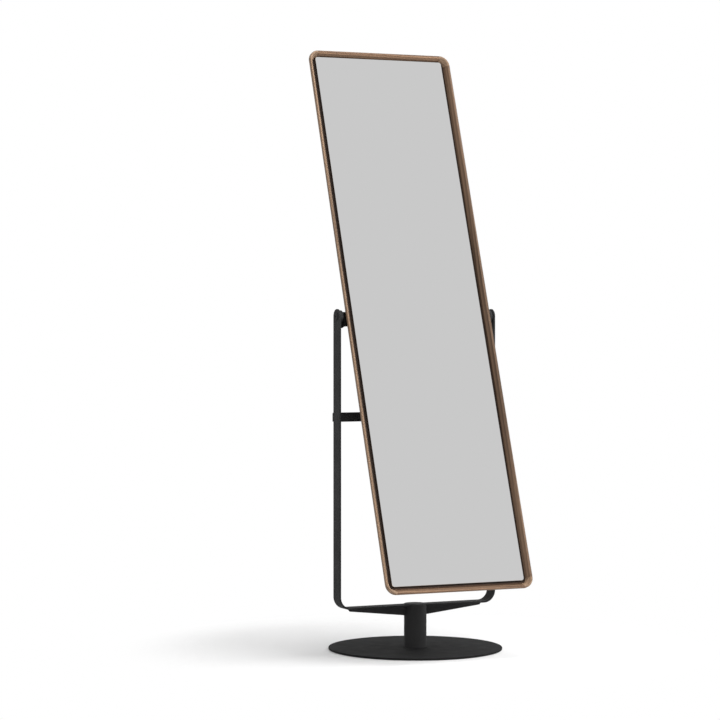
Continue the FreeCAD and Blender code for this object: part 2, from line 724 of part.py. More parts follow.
def make_pivot_bracket(side, label):
    """Plate on the back of a stile, with a flanged lug that stands out beside the frame at the pivot."""
    body = new_body(label)
    inner = "dims.frame_width / 2 - dims.flange_reach"
    outer = f"{inner} + dims.plate_width"
    plate = new_sketch(body, "XZ_Plane", "dims.front_reach - dims.frame_depth")
    corners = ((inner, "dims.plate_bottom"), (outer, "dims.plate_bottom"), (outer, "-dims.lug_drop"),
               (LUG_OUTSIDE, "-dims.lug_drop"), (LUG_OUTSIDE, "dims.plate_top"), (inner, "dims.plate_top"))
    polygon(plate, [(f"{side} * ({x})", z) for x, z in corners])
    pad(body, plate, "dims.plate_thickness", reverse=True)
    start = LUG_INSIDE if side > 0 else f"-{LUG_OUTSIDE}"
    lug = new_sketch(body, "YZ_Plane", start)
    rectangle(lug, "-dims.lug_width / 2", "dims.lug_width / 2", "-dims.lug_drop", "dims.lug_rise")
    pad(body, lug, "dims.lug_thickness")
    flange = new_sketch(body, "XY_Plane", "-dims.lug_drop")
    rectangle(flange, f"{side} * ({LUG_INSIDE} - dims.lug_return)", f"{side} * ({LUG_INSIDE})",
              "-dims.lug_width / 2", "dims.lug_thickness - dims.lug_width / 2")
    pad(body, flange, "dims.lug_drop + dims.lug_rise")
    outside = number(LUG_OUTSIDE)
    edge_line = number("dims.lug_width / 2")
    dress("Fillet", body, "dims.lug_bend", lambda edge, middle:
          is_line_along(edge, UP) and is_near(middle.y, -edge_line) and is_near(abs(middle.x), outside))
    dress("Fillet", body, "dims.lug_round", lambda edge, middle:
          is_line_along(edge, ACROSS) and is_near(middle.y, edge_line))
    bore = new_sketch(body, "YZ_Plane", start)
    circle(bore, "dims.pivot_diameter + 2 * dims.pivot_play")
    pocket(body, bore, "2 * dims.lug_thickness", reverse=True)
    holes = new_sketch(body, "XZ_Plane", "dims.front_reach - dims.frame_depth")
    for x, z in bracket_screw_places():
        if (number(x) > 0) == (side > 0):
            circle(holes, "dims.screw_shank + 2 * dims.screw_play", x, z)
    pocket(body, holes, "dims.plate_thickness", reverse=False)
    keep(body, label, in_head())


def make_stop_buffer(side, label):
    """Rubber buffer on the back of a stile, level with the cross bar when the head is upright."""
    body = new_body(label)
    sketch = new_sketch(body, "XZ_Plane", "dims.front_reach - dims.frame_depth")
    circle(sketch, "dims.buffer_diameter",
           f"{side} * (dims.frame_width / 2 - dims.flange_reach + dims.plate_width / 2)",
           "dims.cross_height - dims.pivot_height")
    pad(body, sketch, "dims.buffer_height", reverse=True)
    back = number("dims.frame_depth + dims.buffer_height - dims.front_reach")
    dress("Fillet", body, "dims.buffer_round", lambda edge, middle: is_near(middle.y, back))
    keep(body, label, in_head())


def check_and_write():
    """Refuse any failed object, then write one file per sub-part."""
    doc.recompute()
    for item in doc.Objects:
        if "Invalid" in item.State or "Error" in item.State:
            raise RuntimeError(f"{item.Name} failed: {item.State}")
    for item in nodes:
        if item.Shape.isNull() or not item.Shape.isValid():
            raise RuntimeError(f"{item.Label} has no valid shape")
    os.makedirs("parts", exist_ok=True)
    for item in nodes:
        item.Shape.exportStep(f"parts/{item.Label}.step")
        print(item.Label, len(item.Shape.Solids), round(item.Shape.Volume))


make_floor_pad()
make_base_plate()
make_base_bolts()
make_column_foot()
make_column_tube()
make_column_cap()
make_yoke_bar()
make_gusset(-1, "gusset_left")
make_gusset(1, "gusset_right")
make_cross_bar()
make_pivot(-1, "left")
make_pivot(1, "right")
make_frame()
make_corner_dowels()
make_back_board()
make_screws("board_screws", board_screw_places(), "dims.frame_depth")
make_glass_tape()
make_mirror_glass()
make_pivot_bracket(-1, "pivot_bracket_left")
make_pivot_bracket(1, "pivot_bracket_right")
make_screws("bracket_screws", bracket_screw_places(), "(dims.frame_depth + dims.plate_thickness)")
make_stop_buffer(-1, "stop_buffer_left")
make_stop_buffer(1, "stop_buffer_right")
check_and_write()
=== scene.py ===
"""Standing mirror: a wooden frame that tilts between the arms of a black steel yoke.

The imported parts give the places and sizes. The pieces that show are made again here with eased edges,
joint lines and screw recesses, and every surface gets its own finish. Metres, +Z up, front towards -Y.
"""
import json
import math
from collections import namedtuple

import bmesh
import bpy
from bpy.props import FloatProperty, FloatVectorProperty, IntProperty, PointerProperty
from mathutils import Matrix, Vector


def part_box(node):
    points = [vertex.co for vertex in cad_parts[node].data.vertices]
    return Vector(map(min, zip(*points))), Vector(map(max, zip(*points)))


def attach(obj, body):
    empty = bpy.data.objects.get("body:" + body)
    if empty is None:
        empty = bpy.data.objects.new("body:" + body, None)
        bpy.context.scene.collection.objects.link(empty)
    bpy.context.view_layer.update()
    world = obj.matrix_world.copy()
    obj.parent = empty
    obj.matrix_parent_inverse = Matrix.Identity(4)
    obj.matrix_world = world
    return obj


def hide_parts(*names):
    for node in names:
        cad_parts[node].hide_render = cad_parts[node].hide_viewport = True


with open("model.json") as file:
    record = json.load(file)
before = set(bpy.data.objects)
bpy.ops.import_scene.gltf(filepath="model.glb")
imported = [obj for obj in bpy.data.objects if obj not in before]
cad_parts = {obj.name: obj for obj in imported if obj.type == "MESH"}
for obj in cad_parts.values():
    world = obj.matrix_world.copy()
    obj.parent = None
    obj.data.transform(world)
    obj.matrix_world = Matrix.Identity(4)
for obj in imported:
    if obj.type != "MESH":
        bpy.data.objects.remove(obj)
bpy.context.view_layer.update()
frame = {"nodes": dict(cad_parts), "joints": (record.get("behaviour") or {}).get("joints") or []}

bl_info = {
    "name": "Standing mirror",
    "version": (1, 0, 0),
    "blender": (4, 5, 0),
    "location": "3D View > Sidebar > Mirror",
    "description": "Builds a tilting full-length mirror on a steel stand, and a plain studio for it",
    "category": "Object",
}

HEAD = "mirror_head"
STAND = "stand"
PIVOT = Vector(next(joint["pos_m"] for joint in frame["joints"] if joint["name"] == "tilt"))
QUARTER = math.pi / 2
SIDES = (("left", -1), ("right", 1))
SMOOTH_UP_TO = math.radians(38)
WELD_DISTANCE = 1e-6
WHITE = (1, 1, 1, 1)

# Every wooden piece is cut from a stretch of its own along one board, so no two show the same grain.
BOARD_STEP = 2.3
CORNER_START, CORNER_STEP = 11, 1.7
BOARD_RINGS, CORNER_RINGS = 0.006, 0.0052
HEART = (0.055, 0.034, 0.0)

# A stile is darker about one place along it: tones within the first reach and past the second.
LEFT_DEEP, RIGHT_DEEP = 0.72, 2 * BOARD_STEP + 0.81
DEEP_REACH, DEEP_TONES = (0.22, 0.55), (0.17, -0.2)

# Painted shade darkens a moulding's inner slope from start to end, up to the board, and its outer edge over a
# width, by amounts that differ with how the light falls on each side.
PaintedShade = namedtuple("PaintedShade", "start end slope edge width")
TOP_PAINTED_SHADE = PaintedShade(start=0.0078, end=0.0125, slope=0.58, edge=0.5, width=0.0068)
BOTTOM_PAINTED_SHADE = PaintedShade(start=0.0048, end=0.0125, slope=0.45, edge=0.2, width=0.005)
LEFT_PAINTED_SHADE = PaintedShade(start=0.0042, end=0.0062, slope=0.78, edge=0.06, width=0.005)
RIGHT_PAINTED_SHADE = PaintedShade(start=0.0125, end=0.0155, slope=0.35, edge=0.15, width=0.005)
PAINTED_SHADE_DEPTH, PAINTED_SHADE_FADE = (0.0185, 0.0205), 0.003

# Painted light: the board is brighter along its foot, fading out over this height, where light falls into the
# gap below the glass.
PAINTED_LIGHT_HEIGHT, PAINTED_LIGHT_BRIGHTNESS = 0.0052, 7.0


def width_of(node, axis):
    """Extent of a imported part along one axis."""
    low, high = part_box(node)
    return high[axis] - low[axis]


# Settings

def setting(prop, **fixed):
    """A kind of setting, declared by its label, its default and a line about it."""
    def declare(name, default, description):
        return prop(name=name, default=default, description=description, **fixed)
    return declare


length = setting(FloatProperty, min=0, precision=5, subtype="DISTANCE", unit="LENGTH")
angle = setting(FloatProperty, subtype="ANGLE", unit="ROTATION")
colour = setting(FloatVectorProperty, size=3, min=0, max=1, subtype="COLOR")
factor = setting(FloatProperty, min=0, max=1, subtype="FACTOR")
number = setting(FloatProperty)
tally = setting(IntProperty, min=12)
place = setting(FloatVectorProperty, size=3, subtype="TRANSLATION", unit="LENGTH")
power = setting(FloatProperty, min=0, unit="POWER")


class MirrorHeadSettings(bpy.types.PropertyGroup):
    """Sizes of the wooden frame, the glass and what is on the back of the frame"""
    rest_tilt: angle("Rest tilt", math.radians(18.9), "Lean of the head at rest")
    front_reach: length("Front reach", 0.0285, "Tilt axis to the front of the rim")
    frame_width: length("Frame width", 0.45, "Outer width of the frame")
    frame_height: length("Frame height", 1.596, "Outer height of the frame")
    frame_depth: length("Frame depth", 0.024, "Front of the rim to the back of the frame")
    corner_radius: length("Corner radius", 0.03, "Outer corners of the frame")
    rim_width: length("Rim width", 0.0068, "Flat front of the moulding")
    rim_round: length("Rim rounding", 0.003, "Outer front edge of the moulding")
    rim_ease: length("Rim ease", 0.004, "Inner front edge of the moulding")
    lip_width: length("Lip width", 0.0156, "Outer side to the foot of the inner slope")
    lip_depth: length("Lip depth", 0.0165, "Rim to the foot of the inner slope")
    side_depth: length("Side depth", 0.01, "Straight outer side, before the back tapers in")
    back_taper: length("Back taper", 0.01, "How far the back edge is set in")
    flange_reach: length("Flange reach", 0.026, "Outer side to the inner edge of the rebate")
    board_thickness: length("Board thickness", 0.0035, "Board that carries the glass")
    edge_ease: length("Edge ease", 0.0008, "Sanded edges of the wood")
    joint_groove: length("Joint groove", 0.0004, "Fine groove along the corner joints")
    glass_margin: length("Glass margin", 0.0224, "Outer side of the frame to the side edges of the glass")
    glass_foot: length("Glass foot", 0.023, "Bottom of the frame to the lower edge of the glass")
    glass_head: length("Glass head", 0.0158, "Top of the frame to the upper edge of the glass")
    glass_recess: length("Glass recess", 0.012, "Front of the rim to the glass")
    glass_thickness: length("Glass thickness", 0.003, "Mirror glass")
    glass_arris: length("Glass arris", 0.0005, "Ground edge of the glass")
    screw_line: length("Screw line", 0.02, "Outer side of the frame to the row of screws")
    screw_pitch: length("Screw pitch", 0.24, "Spacing of the screws along a stile")
    rail_pitch: length("Rail pitch", 0.2, "Spacing of the two screws in a rail")
    screw_head: length("Screw head", 0.006, "Width of a wood screw's head")
    screw_head_height: length("Screw head height", 0.002, "Height of a wood screw's head")
    screw_shank: length("Screw shank", 0.003, "Shank of a wood screw")
    screw_bite: length("Screw bite", 0.003, "Depth of a screw in the board")
    plate_width: length("Bracket width", 0.016, "Bracket's plate on the stile")
    plate_drop: length("Bracket drop", 0.014, "Tilt axis to the upper edge of the bracket's plate")
    plate_length: length("Bracket length", 0.062, "Height of the bracket's plate")
    plate_thickness: length("Bracket thickness", 0.003, "Bracket's plate")
    plate_round: length("Bracket corners", 0.003, "Rounded corners of the bracket's plate")
    plate_notch: length("Bracket notch", 0.002, "Rounded corner of the plate below the lug")
    lug_thickness: length("Lug thickness", 0.004, "Bracket's lug")
    lug_width: length("Lug width", 0.025, "Bracket's lug, front to back")
    lug_drop: length("Lug drop", 0.03, "Tilt axis to the lug's lower edge")
    lug_rise: length("Lug rise", 0.0095, "Tilt axis to the lug's upper edge")
    lug_return: length("Lug return", 0.0045, "Flange turned in from the lug's front edge")
    lug_bend: length("Lug bend", 0.002, "Outside of the bend between lug and flange")
    lug_outside: length("Lug place", 0.23, "Middle of the mirror to the outside of a lug")
    bracket_screw_drop: length("Bracket screw drop", 0.032, "Tilt axis to the highest bracket screw")
    bracket_screw_pitch: length("Bracket screw pitch", 0.018, "Spacing of the bracket screws")
    buffer_diameter: length("Buffer diameter", 0.014, "Rubber buffers on the back of the stiles")
    buffer_height: length("Buffer height", 0.002, "Rubber buffers on the back of the stiles")


class StandSettings(bpy.types.PropertyGroup):
    """Sizes of the base, the column, the yoke and the pivots"""
    base_diameter: length("Base diameter", width_of("base_plate", 0), "Round base plate")
    base_thickness: length("Base thickness", width_of("base_plate", 2), "Round base plate")
    base_ease: length("Base ease", 0.0008, "Eased edges of the plate")
    column_diameter: length("Column diameter", width_of("column_tube", 0), "Outside of the column")
    column_height: length("Column height", width_of("column_tube", 2), "Base plate to the cap")
    cap_thickness: length("Cap thickness", width_of("column_cap", 2), "Disc on top of the column")
    cap_ease: length("Cap ease", 0.0005, "Eased edges of the cap")
    yoke_width: length("Yoke width", width_of("yoke_bar", 0), "Outside of one upright to the other")
    bar_width: length("Bar width", width_of("yoke_bar", 1), "Flat bar, front to back")
    bar_thickness: length("Bar thickness", 0.005, "Flat bar")
    bend_radius: length("Bend radius", 0.035, "Outside of the two bends")
    steel_ease: length("Steel ease", 0.0008, "Eased edges of bars and plates")
    gusset_thickness: length("Gusset thickness", width_of("gusset_left", 1), "Plates under the bar")
    gusset_reach: length("Gusset reach", 0.204, "Middle to a gusset's lower outer corner")
    gusset_tip: length("Gusset tip", 0.007, "Depth of a gusset at its outer end")
    cross_round: length("Cross bar corners", 0.003, "Rounded corners of the cross bar's ends")
    spacer_diameter: length("Spacer diameter", width_of("pivot_spacer_left", 1), "Pivot spacers")
    spacer_length: length("Spacer length", width_of("pivot_spacer_left", 0), "Pivot spacers")
    spacer_ease: length("Spacer ease", 0.0009, "Rounded edges of the spacers")
    spacer_play: length("Spacer play", 0.0001, "Play round the bolt in a spacer")
    pivot_diameter: length("Pivot diameter", 0.008, "Shoulder of a pivot bolt")
    thread_diameter: length("Thread diameter", 0.006, "Thread of a pivot bolt")
    thread_pitch: length("Thread pitch", 0.001, "Thread of a pivot bolt")
    thread_length: length("Thread length", 0.0077, "Thread of a pivot bolt")
    bolt_head: length("Bolt head", 0.02, "Flat head of a pivot bolt")
    bolt_head_height: length("Bolt head height", 0.003, "Flat head of a pivot bolt")
    bolt_ease: length("Bolt ease", 0.0008, "Rounded edge of the head")
    bolt_neck: length("Bolt neck", 0.0005, "Length of the cone between thread and shoulder")
    socket_width: length("Socket width", 0.005, "Hexagon socket across its flats")
    socket_depth: length("Socket depth", 0.0022, "Hexagon socket")
    socket_chamfer: length("Socket chamfer", 0.0003, "Chamfer round the hexagon socket")


class FinishSettings(bpy.types.PropertyGroup):
    """Colours of the finishes"""
    # Each member's colours hold its board's own tone together with painted light and shade for the side it
    # stands on; the right stile is painted darkest.
    top_light: colour("Top rail, light", (0.37, 0.222, 0.134), "Early wood of the top rail")
    top_dark: colour("Top rail, dark", (0.119, 0.0654, 0.0378), "Late wood of the top rail")
    bottom_light: colour("Bottom rail, light", (0.255, 0.152, 0.092), "Early wood of the bottom rail")
    bottom_dark: colour("Bottom rail, dark", (0.082, 0.045, 0.026), "Late wood of the bottom rail")
    left_light: colour("Left stile, light", (0.325, 0.21, 0.133), "Early wood of the left stile")
    left_dark: colour("Left stile, dark", (0.112, 0.067, 0.041), "Late wood of the left stile")
    right_light: colour("Right stile, light", (0.184, 0.115, 0.073), "Early wood of the right stile")
    right_dark: colour("Right stile, dark", (0.061, 0.037, 0.023), "Late wood of the right stile")
    corner_light: colour("Corners, light", (0.30, 0.2, 0.13), "Early wood of the corner blocks")
    corner_dark: colour("Corners, dark", (0.155, 0.098, 0.061), "Late wood of the corner blocks")
    pore: colour("Pores", (0.09, 0.055, 0.036), "Open pores of the wood")
    powder: colour("Powder coat", (0.026, 0.026, 0.0264), "Black coat of the bars")
    # All of these are the one black coat of the bars: the column and gusset coat is made lighter as painted
    # light, the base and bracket coats darker as painted shade.
    column_powder_painted_light: colour("Column coat", (0.038, 0.038, 0.0385), "Black coat of the column and the gussets")
    base_powder_painted_shade: colour("Base coat", (0.0135, 0.0135, 0.0138), "Black coat of the base plate")
    bracket_powder_painted_shade: colour("Bracket coat", (0.005, 0.005, 0.0051), "Black coat of the pivot brackets")
    silver: colour("Silvering", (0.875, 0.875, 0.875), "Reflection of the mirror")
    glass_edge: colour("Glass edge", (0.21, 0.165, 0.13), "Sides of the glass")
    board: colour("Back board", (0.013, 0.0075, 0.005), "Painted board behind the glass")
    zinc: colour("Zinc", (0.60, 0.61, 0.62), "Plated screws, nuts and springs")
    rubber: colour("Rubber", (0.018, 0.018, 0.018), "Buffers and the sheet under the base")
    nylon: colour("Nylon", (0.02, 0.02, 0.0205), "Spacers and washers")
    dowel: colour("Dowel wood", (0.62, 0.46, 0.3), "Beech dowels in the corners")
    foam: colour("Foam tape", (0.82, 0.81, 0.78), "Tape that carries the glass")


class StageSettings(bpy.types.PropertyGroup):
    """Camera, lamps and floor"""
    camera_place: place("Camera place", (-3.222, -6.428, 0.96), "Where the camera stands")
    camera_turn: angle("Camera turn", math.radians(-25.38), "Level turn of the camera about the vertical")
    camera_lens: number("Lens", 127.4, "Focal length in millimetres")
    camera_rise: number("Rise", -0.0713, "Vertical shift of the frame")
    floor_radius: length("Floor radius", 9.0, "Round floor")
    floor_grey: factor("Floor grey", 0.6, "Brightness of the floor's own colour")
    floor_lift: factor("Floor lift", 0.174, "Light added where the floor is seen")
    fade_start: length("Fade start", 0.55, "Distance at which the floor begins to fade to white")
    fade_end: length("Fade end", 0.85, "Distance at which the floor is white")
    sky_light: factor("Sky light", 0.4, "Even light from all round")
    ceiling_grey: factor("Ceiling grey", 0.668, "Brightness of the upper studio in reflections")
    ceiling_start: factor("Ceiling start", 0.2, "Slope at which the studio begins to grow greyer")
    ceiling_end: factor("Ceiling end", 0.46, "Slope from which the studio is all ceiling")
    key_place: place("Key place", (3.0, -2.3, 4.7), "Large soft lamp on the right")
    key_width: length("Key width", 7.0, "Width of the soft lamp")
    key_height: length("Key height", 3.5, "Height of the soft lamp")
    key_power: power("Key power", 445, "Soft lamp")
    fill_place: place("Fill place", (-1.2, -6.0, 3.2), "Weak lamp near the camera")
    fill_size: length("Fill size", 2.5, "Side of the weak lamp")
    fill_power: power("Fill power", 130, "Weak lamp")
    top_place: place("Top place", (0.16, -0.13, 6.0), "Soft lamp overhead")
    top_size: length("Top size", 2.0, "Side of the lamp overhead")
    top_power: power("Top power", 124, "Lamp overhead")
    segments: tally("Segments", 128, "Steps round the floor")


class StandingMirrorSettings(bpy.types.PropertyGroup):
    """Everything that a user may change before building the mirror"""
    head: PointerProperty(type=MirrorHeadSettings)
    stand: PointerProperty(type=StandSettings)
    finish: PointerProperty(type=FinishSettings)
    stage: PointerProperty(type=StageSettings)


# Shapes

def solid(*skins, caps=True, cyclic=False):
    """A mesh in the making: each skin is a row of closed loops with the same number of points."""
    bm = bmesh.new()
    for loops in skins:
        rows = [[bm.verts.new(point) for point in loop] for loop in loops]
        pairs = list(zip(rows, rows[1:]))
        if cyclic:
            pairs.append((rows[-1], rows[0]))
        for row, following in pairs:
            for i in range(len(row)):
                j = (i + 1) % len(row)
                bm.faces.new((row[i], row[j], following[j], following[i]))
        if caps and not cyclic:
            bm.faces.new(reversed(rows[0]))
            bm.faces.new(rows[-1])
    return bm


def rounded_outline(corners, radii, steps=6):
    """A closed outline whose corners turn on arcs, each with its own radius."""
    outline = []
    count = len(corners)
    for i, radius in enumerate(radii):
        corner = Vector(corners[i])
        back = (Vector(corners[i - 1]) - corner).normalized()
        on = (Vector(corners[(i + 1) % count]) - corner).normalized()
        if radius == 0:
            outline.append(corner)
            continue
        half = back.angle(on) / 2
        centre = corner + (back + on).normalized() * (radius / math.sin(half))
        first = corner + back * (radius / math.tan(half)) - centre
        last = corner + on * (radius / math.tan(half)) - centre
        start = math.atan2(first.y, first.x)
        sweep = math.atan2(last.y, last.x) - start
        sweep = (sweep + math.pi) % (2 * math.pi) - math.pi
        for step in range(steps + 1):
            turn = start + sweep * step / steps
            outline.append(centre + radius * Vector((math.cos(turn), math.sin(turn))))
    return outline


def rectangle(width, height):
    """Corners of a rectangle about the middle, anticlockwise."""
    x, y = width / 2, height / 2
    return [(-x, -y), (x, -y), (x, y), (-x, y)]


def round_outline(diameter, segments):
    step = 2 * math.pi / segments
    return [Vector((math.cos(i * step), math.sin(i * step))) * (diameter / 2) for i in range(segments)]


def inset(outline, amount):
    """An anticlockwise outline moved inwards."""
    moved = []
    count = len(outline)
    for i, point in enumerate(outline):
        before = (point - outline[i - 1]).normalized()
        after = (outline[(i + 1) % count] - point).normalized()
        first = Vector((-before.y, before.x))
        second = Vector((-after.y, after.x))
        moved.append(point + (first + second) * (amount / (1 + first.dot(second))))
    return moved


def eased_levels(thickness, ease, steps=3):
    """Heights through a plate with rounded edges, each with how far the outline is set in there."""
    levels = []
    for step in range(steps + 1):
        turn = QUARTER * step / steps
        levels.append((-thickness / 2 + ease * (1 - math.cos(turn)), ease * (1 - math.sin(turn))))
    return levels + [(-height, amount) for height, amount in reversed(levels)]


def lifted(outline, height, matrix):
    """An outline as a loop of points at a height in the matrix's axes."""
    return [matrix @ Vector((p.x, p.y, height)) for p in outline]


def to_side(outline, side):
    """An outline drawn for the right, turned over for the left."""
    return outline if side > 0 else [Vector((-p.x, p.y)) for p in reversed(outline)]


def plate_loops(outline, thickness, ease, matrix, steps=3):
    """Loops of a plate with rounded edges, centred on the matrix's XY plane."""
    levels = eased_levels(thickness, ease, steps)
    return [lifted(inset(outline, amount), height, matrix) for height, amount in levels]


def turned_loops(profile, matrix, segments):
    """Loops of a turned shape: pairs of radius and height, carried round the matrix's Z axis."""
    return [lifted(round_outline(2 * radius, segments), height, matrix) for radius, height in profile]


def dome(edge, tall, shoulder, crown, steps):
    """Turned profile of a low dome: a straight shoulder, then a curve in to a flat crown."""
    profile = [(edge, 0), (edge, shoulder * tall)]
    for step in range(1, steps + 1):
        turn = QUARTER * step / steps
        radius = edge * (crown + (1 - crown) * math.cos(turn))
        profile.append((radius, tall * (shoulder + (1 - shoulder) * math.sin(turn))))
    return profile + [(0, tall)]


def upright_plane(y=0.0, z=0.0):
    """Plate axes: X across, Y up, thickness towards the front."""
    return Matrix.Translation((0, y, z)) @ Matrix.Rotation(QUARTER, 4, "X")


def head_matrix(settings):
    """The head's own axes at rest: origin on the tilt axis, Z up along the frame."""
    return Matrix.Translation(PIVOT) @ Matrix.Rotation(-settings.rest_tilt, 4, "X")


def outward(side):
    """Axes whose Z runs outwards along the tilt axis, from the middle of the mirror."""
    return Matrix.Translation(PIVOT) @ Matrix.Rotation(side * QUARTER, 4, "Y")


def closed_mesh(name, bm):
    """A mesh from its faces: doubles welded, every face outwards."""
    bmesh.ops.remove_doubles(bm, verts=bm.verts, dist=WELD_DISTANCE)
    bmesh.ops.recalc_face_normals(bm, faces=bm.faces)
    mesh = bpy.data.meshes.new(name)
    bm.to_mesh(mesh)
    bm.free()
    return mesh


def make_piece(name, bm, kinds, body, nodes, matrix=None):
    """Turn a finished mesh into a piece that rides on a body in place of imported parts.

    The kinds name its finishes, in the order of the material numbers of its faces.
    """
    mesh = closed_mesh(name, bm)
    for kind in kinds.split():
        mesh.materials.append(finish_of(kind))
    mesh.shade_smooth()
    mesh.set_sharp_from_angle(angle=SMOOTH_UP_TO)
    piece = bpy.data.objects.new(name, mesh)
    bpy.context.scene.collection.objects.link(piece)
    if matrix is not None:
        piece.matrix_world = matrix
    shading = piece.modifiers.new("even_shading", "WEIGHTED_NORMAL")
    shading.keep_sharp = True
    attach(piece, body)
    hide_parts(*nodes)


def dress(kind, *nodes):
    """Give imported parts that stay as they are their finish."""
    for name in nodes:
        for slot in frame["nodes"][name].material_slots:
            slot.material = finish_of(kind)


# Finishes

class Nodes:
    """Short ways to add nodes to a tree."""

    def __init__(self, tree):
        self.tree = tree

    def node(self, kind, inputs=None, **attributes):
        made = self.tree.nodes.new("ShaderNode" + kind)
        for name, value in attributes.items():
            setattr(made, name, value)
        for key, value in (inputs or {}).items():
            if isinstance(value, bpy.types.NodeSocket):
                self.tree.links.new(value, made.inputs[key])
            else:
                made.inputs[key].default_value = value
        return made

    def maths(self, operation, first, second=0.0):
        return self.node("Math", {0: first, 1: second}, operation=operation).outputs["Value"]

    def ranged(self, value, low, high, to_low=0.0, to_high=1.0, how="LINEAR"):
        made = self.node("MapRange", {"Value": value, "From Min": low, "From Max": high,
                                      "To Min": to_low, "To Max": to_high}, interpolation_type=how)
        return made.outputs["Result"]


class Finish(Nodes):
    """A principled material. What it shows is laid out by the position on the piece, in metres."""
    NOISE_SPREAD = (0.3, 0.7)

    def __init__(self, name, **values):
        self.material = bpy.data.materials.new(name)
        self.material.use_nodes = True
        super().__init__(self.material.node_tree)
        self.shader = self.tree.nodes["Principled BSDF"]
        for socket, value in values.items():
            self.shader.inputs[socket.replace("_", " ")].default_value = value
        self.here = self.node("TexCoord").outputs["Object"]

    def feed(self, socket, output):
        self.tree.links.new(output, self.shader.inputs[socket])

    def axis(self, name):
        return self.node("SeparateXYZ", {0: self.here}).outputs[name]

    def scaled(self, vector, scale):
        return self.node("Mapping", {"Vector": vector, "Scale": scale}).outputs["Vector"]

    def noise(self, scale, detail=2.0, roughness=0.5, distortion=0.0):
        """Noise over the piece, with one scale for all directions or one for each."""
        vector = self.here
        if isinstance(scale, tuple):
            vector, scale = self.scaled(vector, scale), 1.0
        made = self.node("TexNoise", {"Vector": vector, "Scale": scale, "Detail": detail,
                                      "Roughness": roughness, "Distortion": distortion})
        return made.outputs["Fac"]

    def spread(self, noise, low, high):
        """Noise brought into a range."""
        return self.ranged(noise, *self.NOISE_SPREAD, low, high)

    def blend(self, amount, first, second, how="MIX"):
        made = self.node("Mix", {0: amount, 6: first, 7: second}, data_type="RGBA", blend_type=how)
        return made.outputs[2]

    def dimmed(self, base, amount):
        """A colour times an amount that varies over the piece."""
        tint = self.node("CombineColor", {"Red": amount, "Green": amount, "Blue": amount})
        return self.blend(1.0, base, tint.outputs["Color"], "MULTIPLY")

    def bump(self, height, strength, distance):
        made = self.node("Bump", {"Height": height, "Strength": strength, "Distance": distance})
        self.feed("Normal", made.outputs["Normal"])


def opaque(value, brightness=1.0):
    return (*(brightness * part for part in value), 1.0)


def wood(name, light, dark, pore, rings=BOARD_RINGS, deep_at=None, painted_shade=None):
    """Oiled wood whose grain runs along the piece's own Z, with rings about a heart beside the piece."""
    finish = Finish(name, Specular_IOR_Level=0.3)
    drift = finish.noise((9, 9, 1.3), detail=3)
    beside = finish.node("VectorMath", {0: finish.here, 1: HEART}, operation="SUBTRACT").outputs["Vector"]
    beside = finish.scaled(beside, (1, 1, 0.012))
    radius = finish.node("VectorMath", {0: beside}, operation="LENGTH").outputs["Value"]
    radius = finish.maths("ADD", radius, finish.maths("MULTIPLY", drift, 0.02))
    ring = finish.maths("FRACT", finish.maths("DIVIDE", radius, rings))
    late = finish.node("ValToRGB", {"Fac": ring})
    early_end, late_peak, ring_end = 0.15, 0.86, 0.99
    late.color_ramp.elements[0].position = early_end
    late.color_ramp.elements[1].position = late_peak
    late.color_ramp.elements.new(ring_end).color = (0.0, 0.0, 0.0, 1.0)
    fibre = finish.noise((820, 820, 10), detail=3, roughness=0.6)
    mottle = finish.noise((16, 16, 2.4))
    tone = finish.maths("MULTIPLY", late.outputs["Color"], 0.8)
    tone = finish.maths("ADD", tone, finish.spread(fibre, -0.2, 0.22))
    tone = finish.maths("ADD", tone, finish.spread(mottle, -0.14, 0.2))
    if deep_at is not None:
        away = finish.maths("ABSOLUTE", finish.maths("SUBTRACT", finish.axis("Z"), deep_at))
        tone = finish.maths("ADD", tone, finish.ranged(away, *DEEP_REACH, *DEEP_TONES))
    pores = finish.ranged(finish.noise((1500, 1500, 46), detail=1), 0.64, 0.74)
    base = finish.blend(tone, opaque(light), opaque(dark))
    base = finish.blend(finish.maths("MULTIPLY", pores, 0.6), base, opaque(pore))
    # Painted shade: darker on the inner slope towards the board and along the outer edge.
    if painted_shade is not None:
        inwards = finish.axis("X")
        inside = finish.maths("MULTIPLY", finish.ranged(inwards, painted_shade.start, painted_shade.end, 0.0, painted_shade.slope),
                              finish.ranged(finish.axis("Y"), *PAINTED_SHADE_DEPTH, 1.0, 0.0))
        outside = finish.ranged(inwards, painted_shade.width - PAINTED_SHADE_FADE, painted_shade.width, painted_shade.edge, 0.0)
        base = finish.dimmed(base, finish.maths("SUBTRACT", 1.0, finish.maths("ADD", inside, outside)))
    finish.feed("Base Color", base)
    finish.feed("Roughness", finish.spread(fibre, 0.44, 0.58))
    height = finish.maths("SUBTRACT", finish.maths("MULTIPLY", fibre, 0.35), pores)
    finish.bump(height, strength=0.3, distance=0.00012)
    return finish.material


def powder_coat(name, base, rough=0.7, gloss=0.15):
    """Fine-textured matt coat on steel."""
    finish = Finish(name, Specular_IOR_Level=gloss)
    grain = finish.noise(1700, roughness=0.55)
    cloud = finish.noise(26, detail=3)
    finish.feed("Base Color", finish.dimmed(opaque(base), finish.ranged(grain, 0.35, 0.75, 0.82, 1.2)))
    finish.feed("Roughness", finish.spread(cloud, rough - 0.05, rough + 0.06))
    finish.bump(grain, strength=0.25, distance=0.00015)
    return finish.material


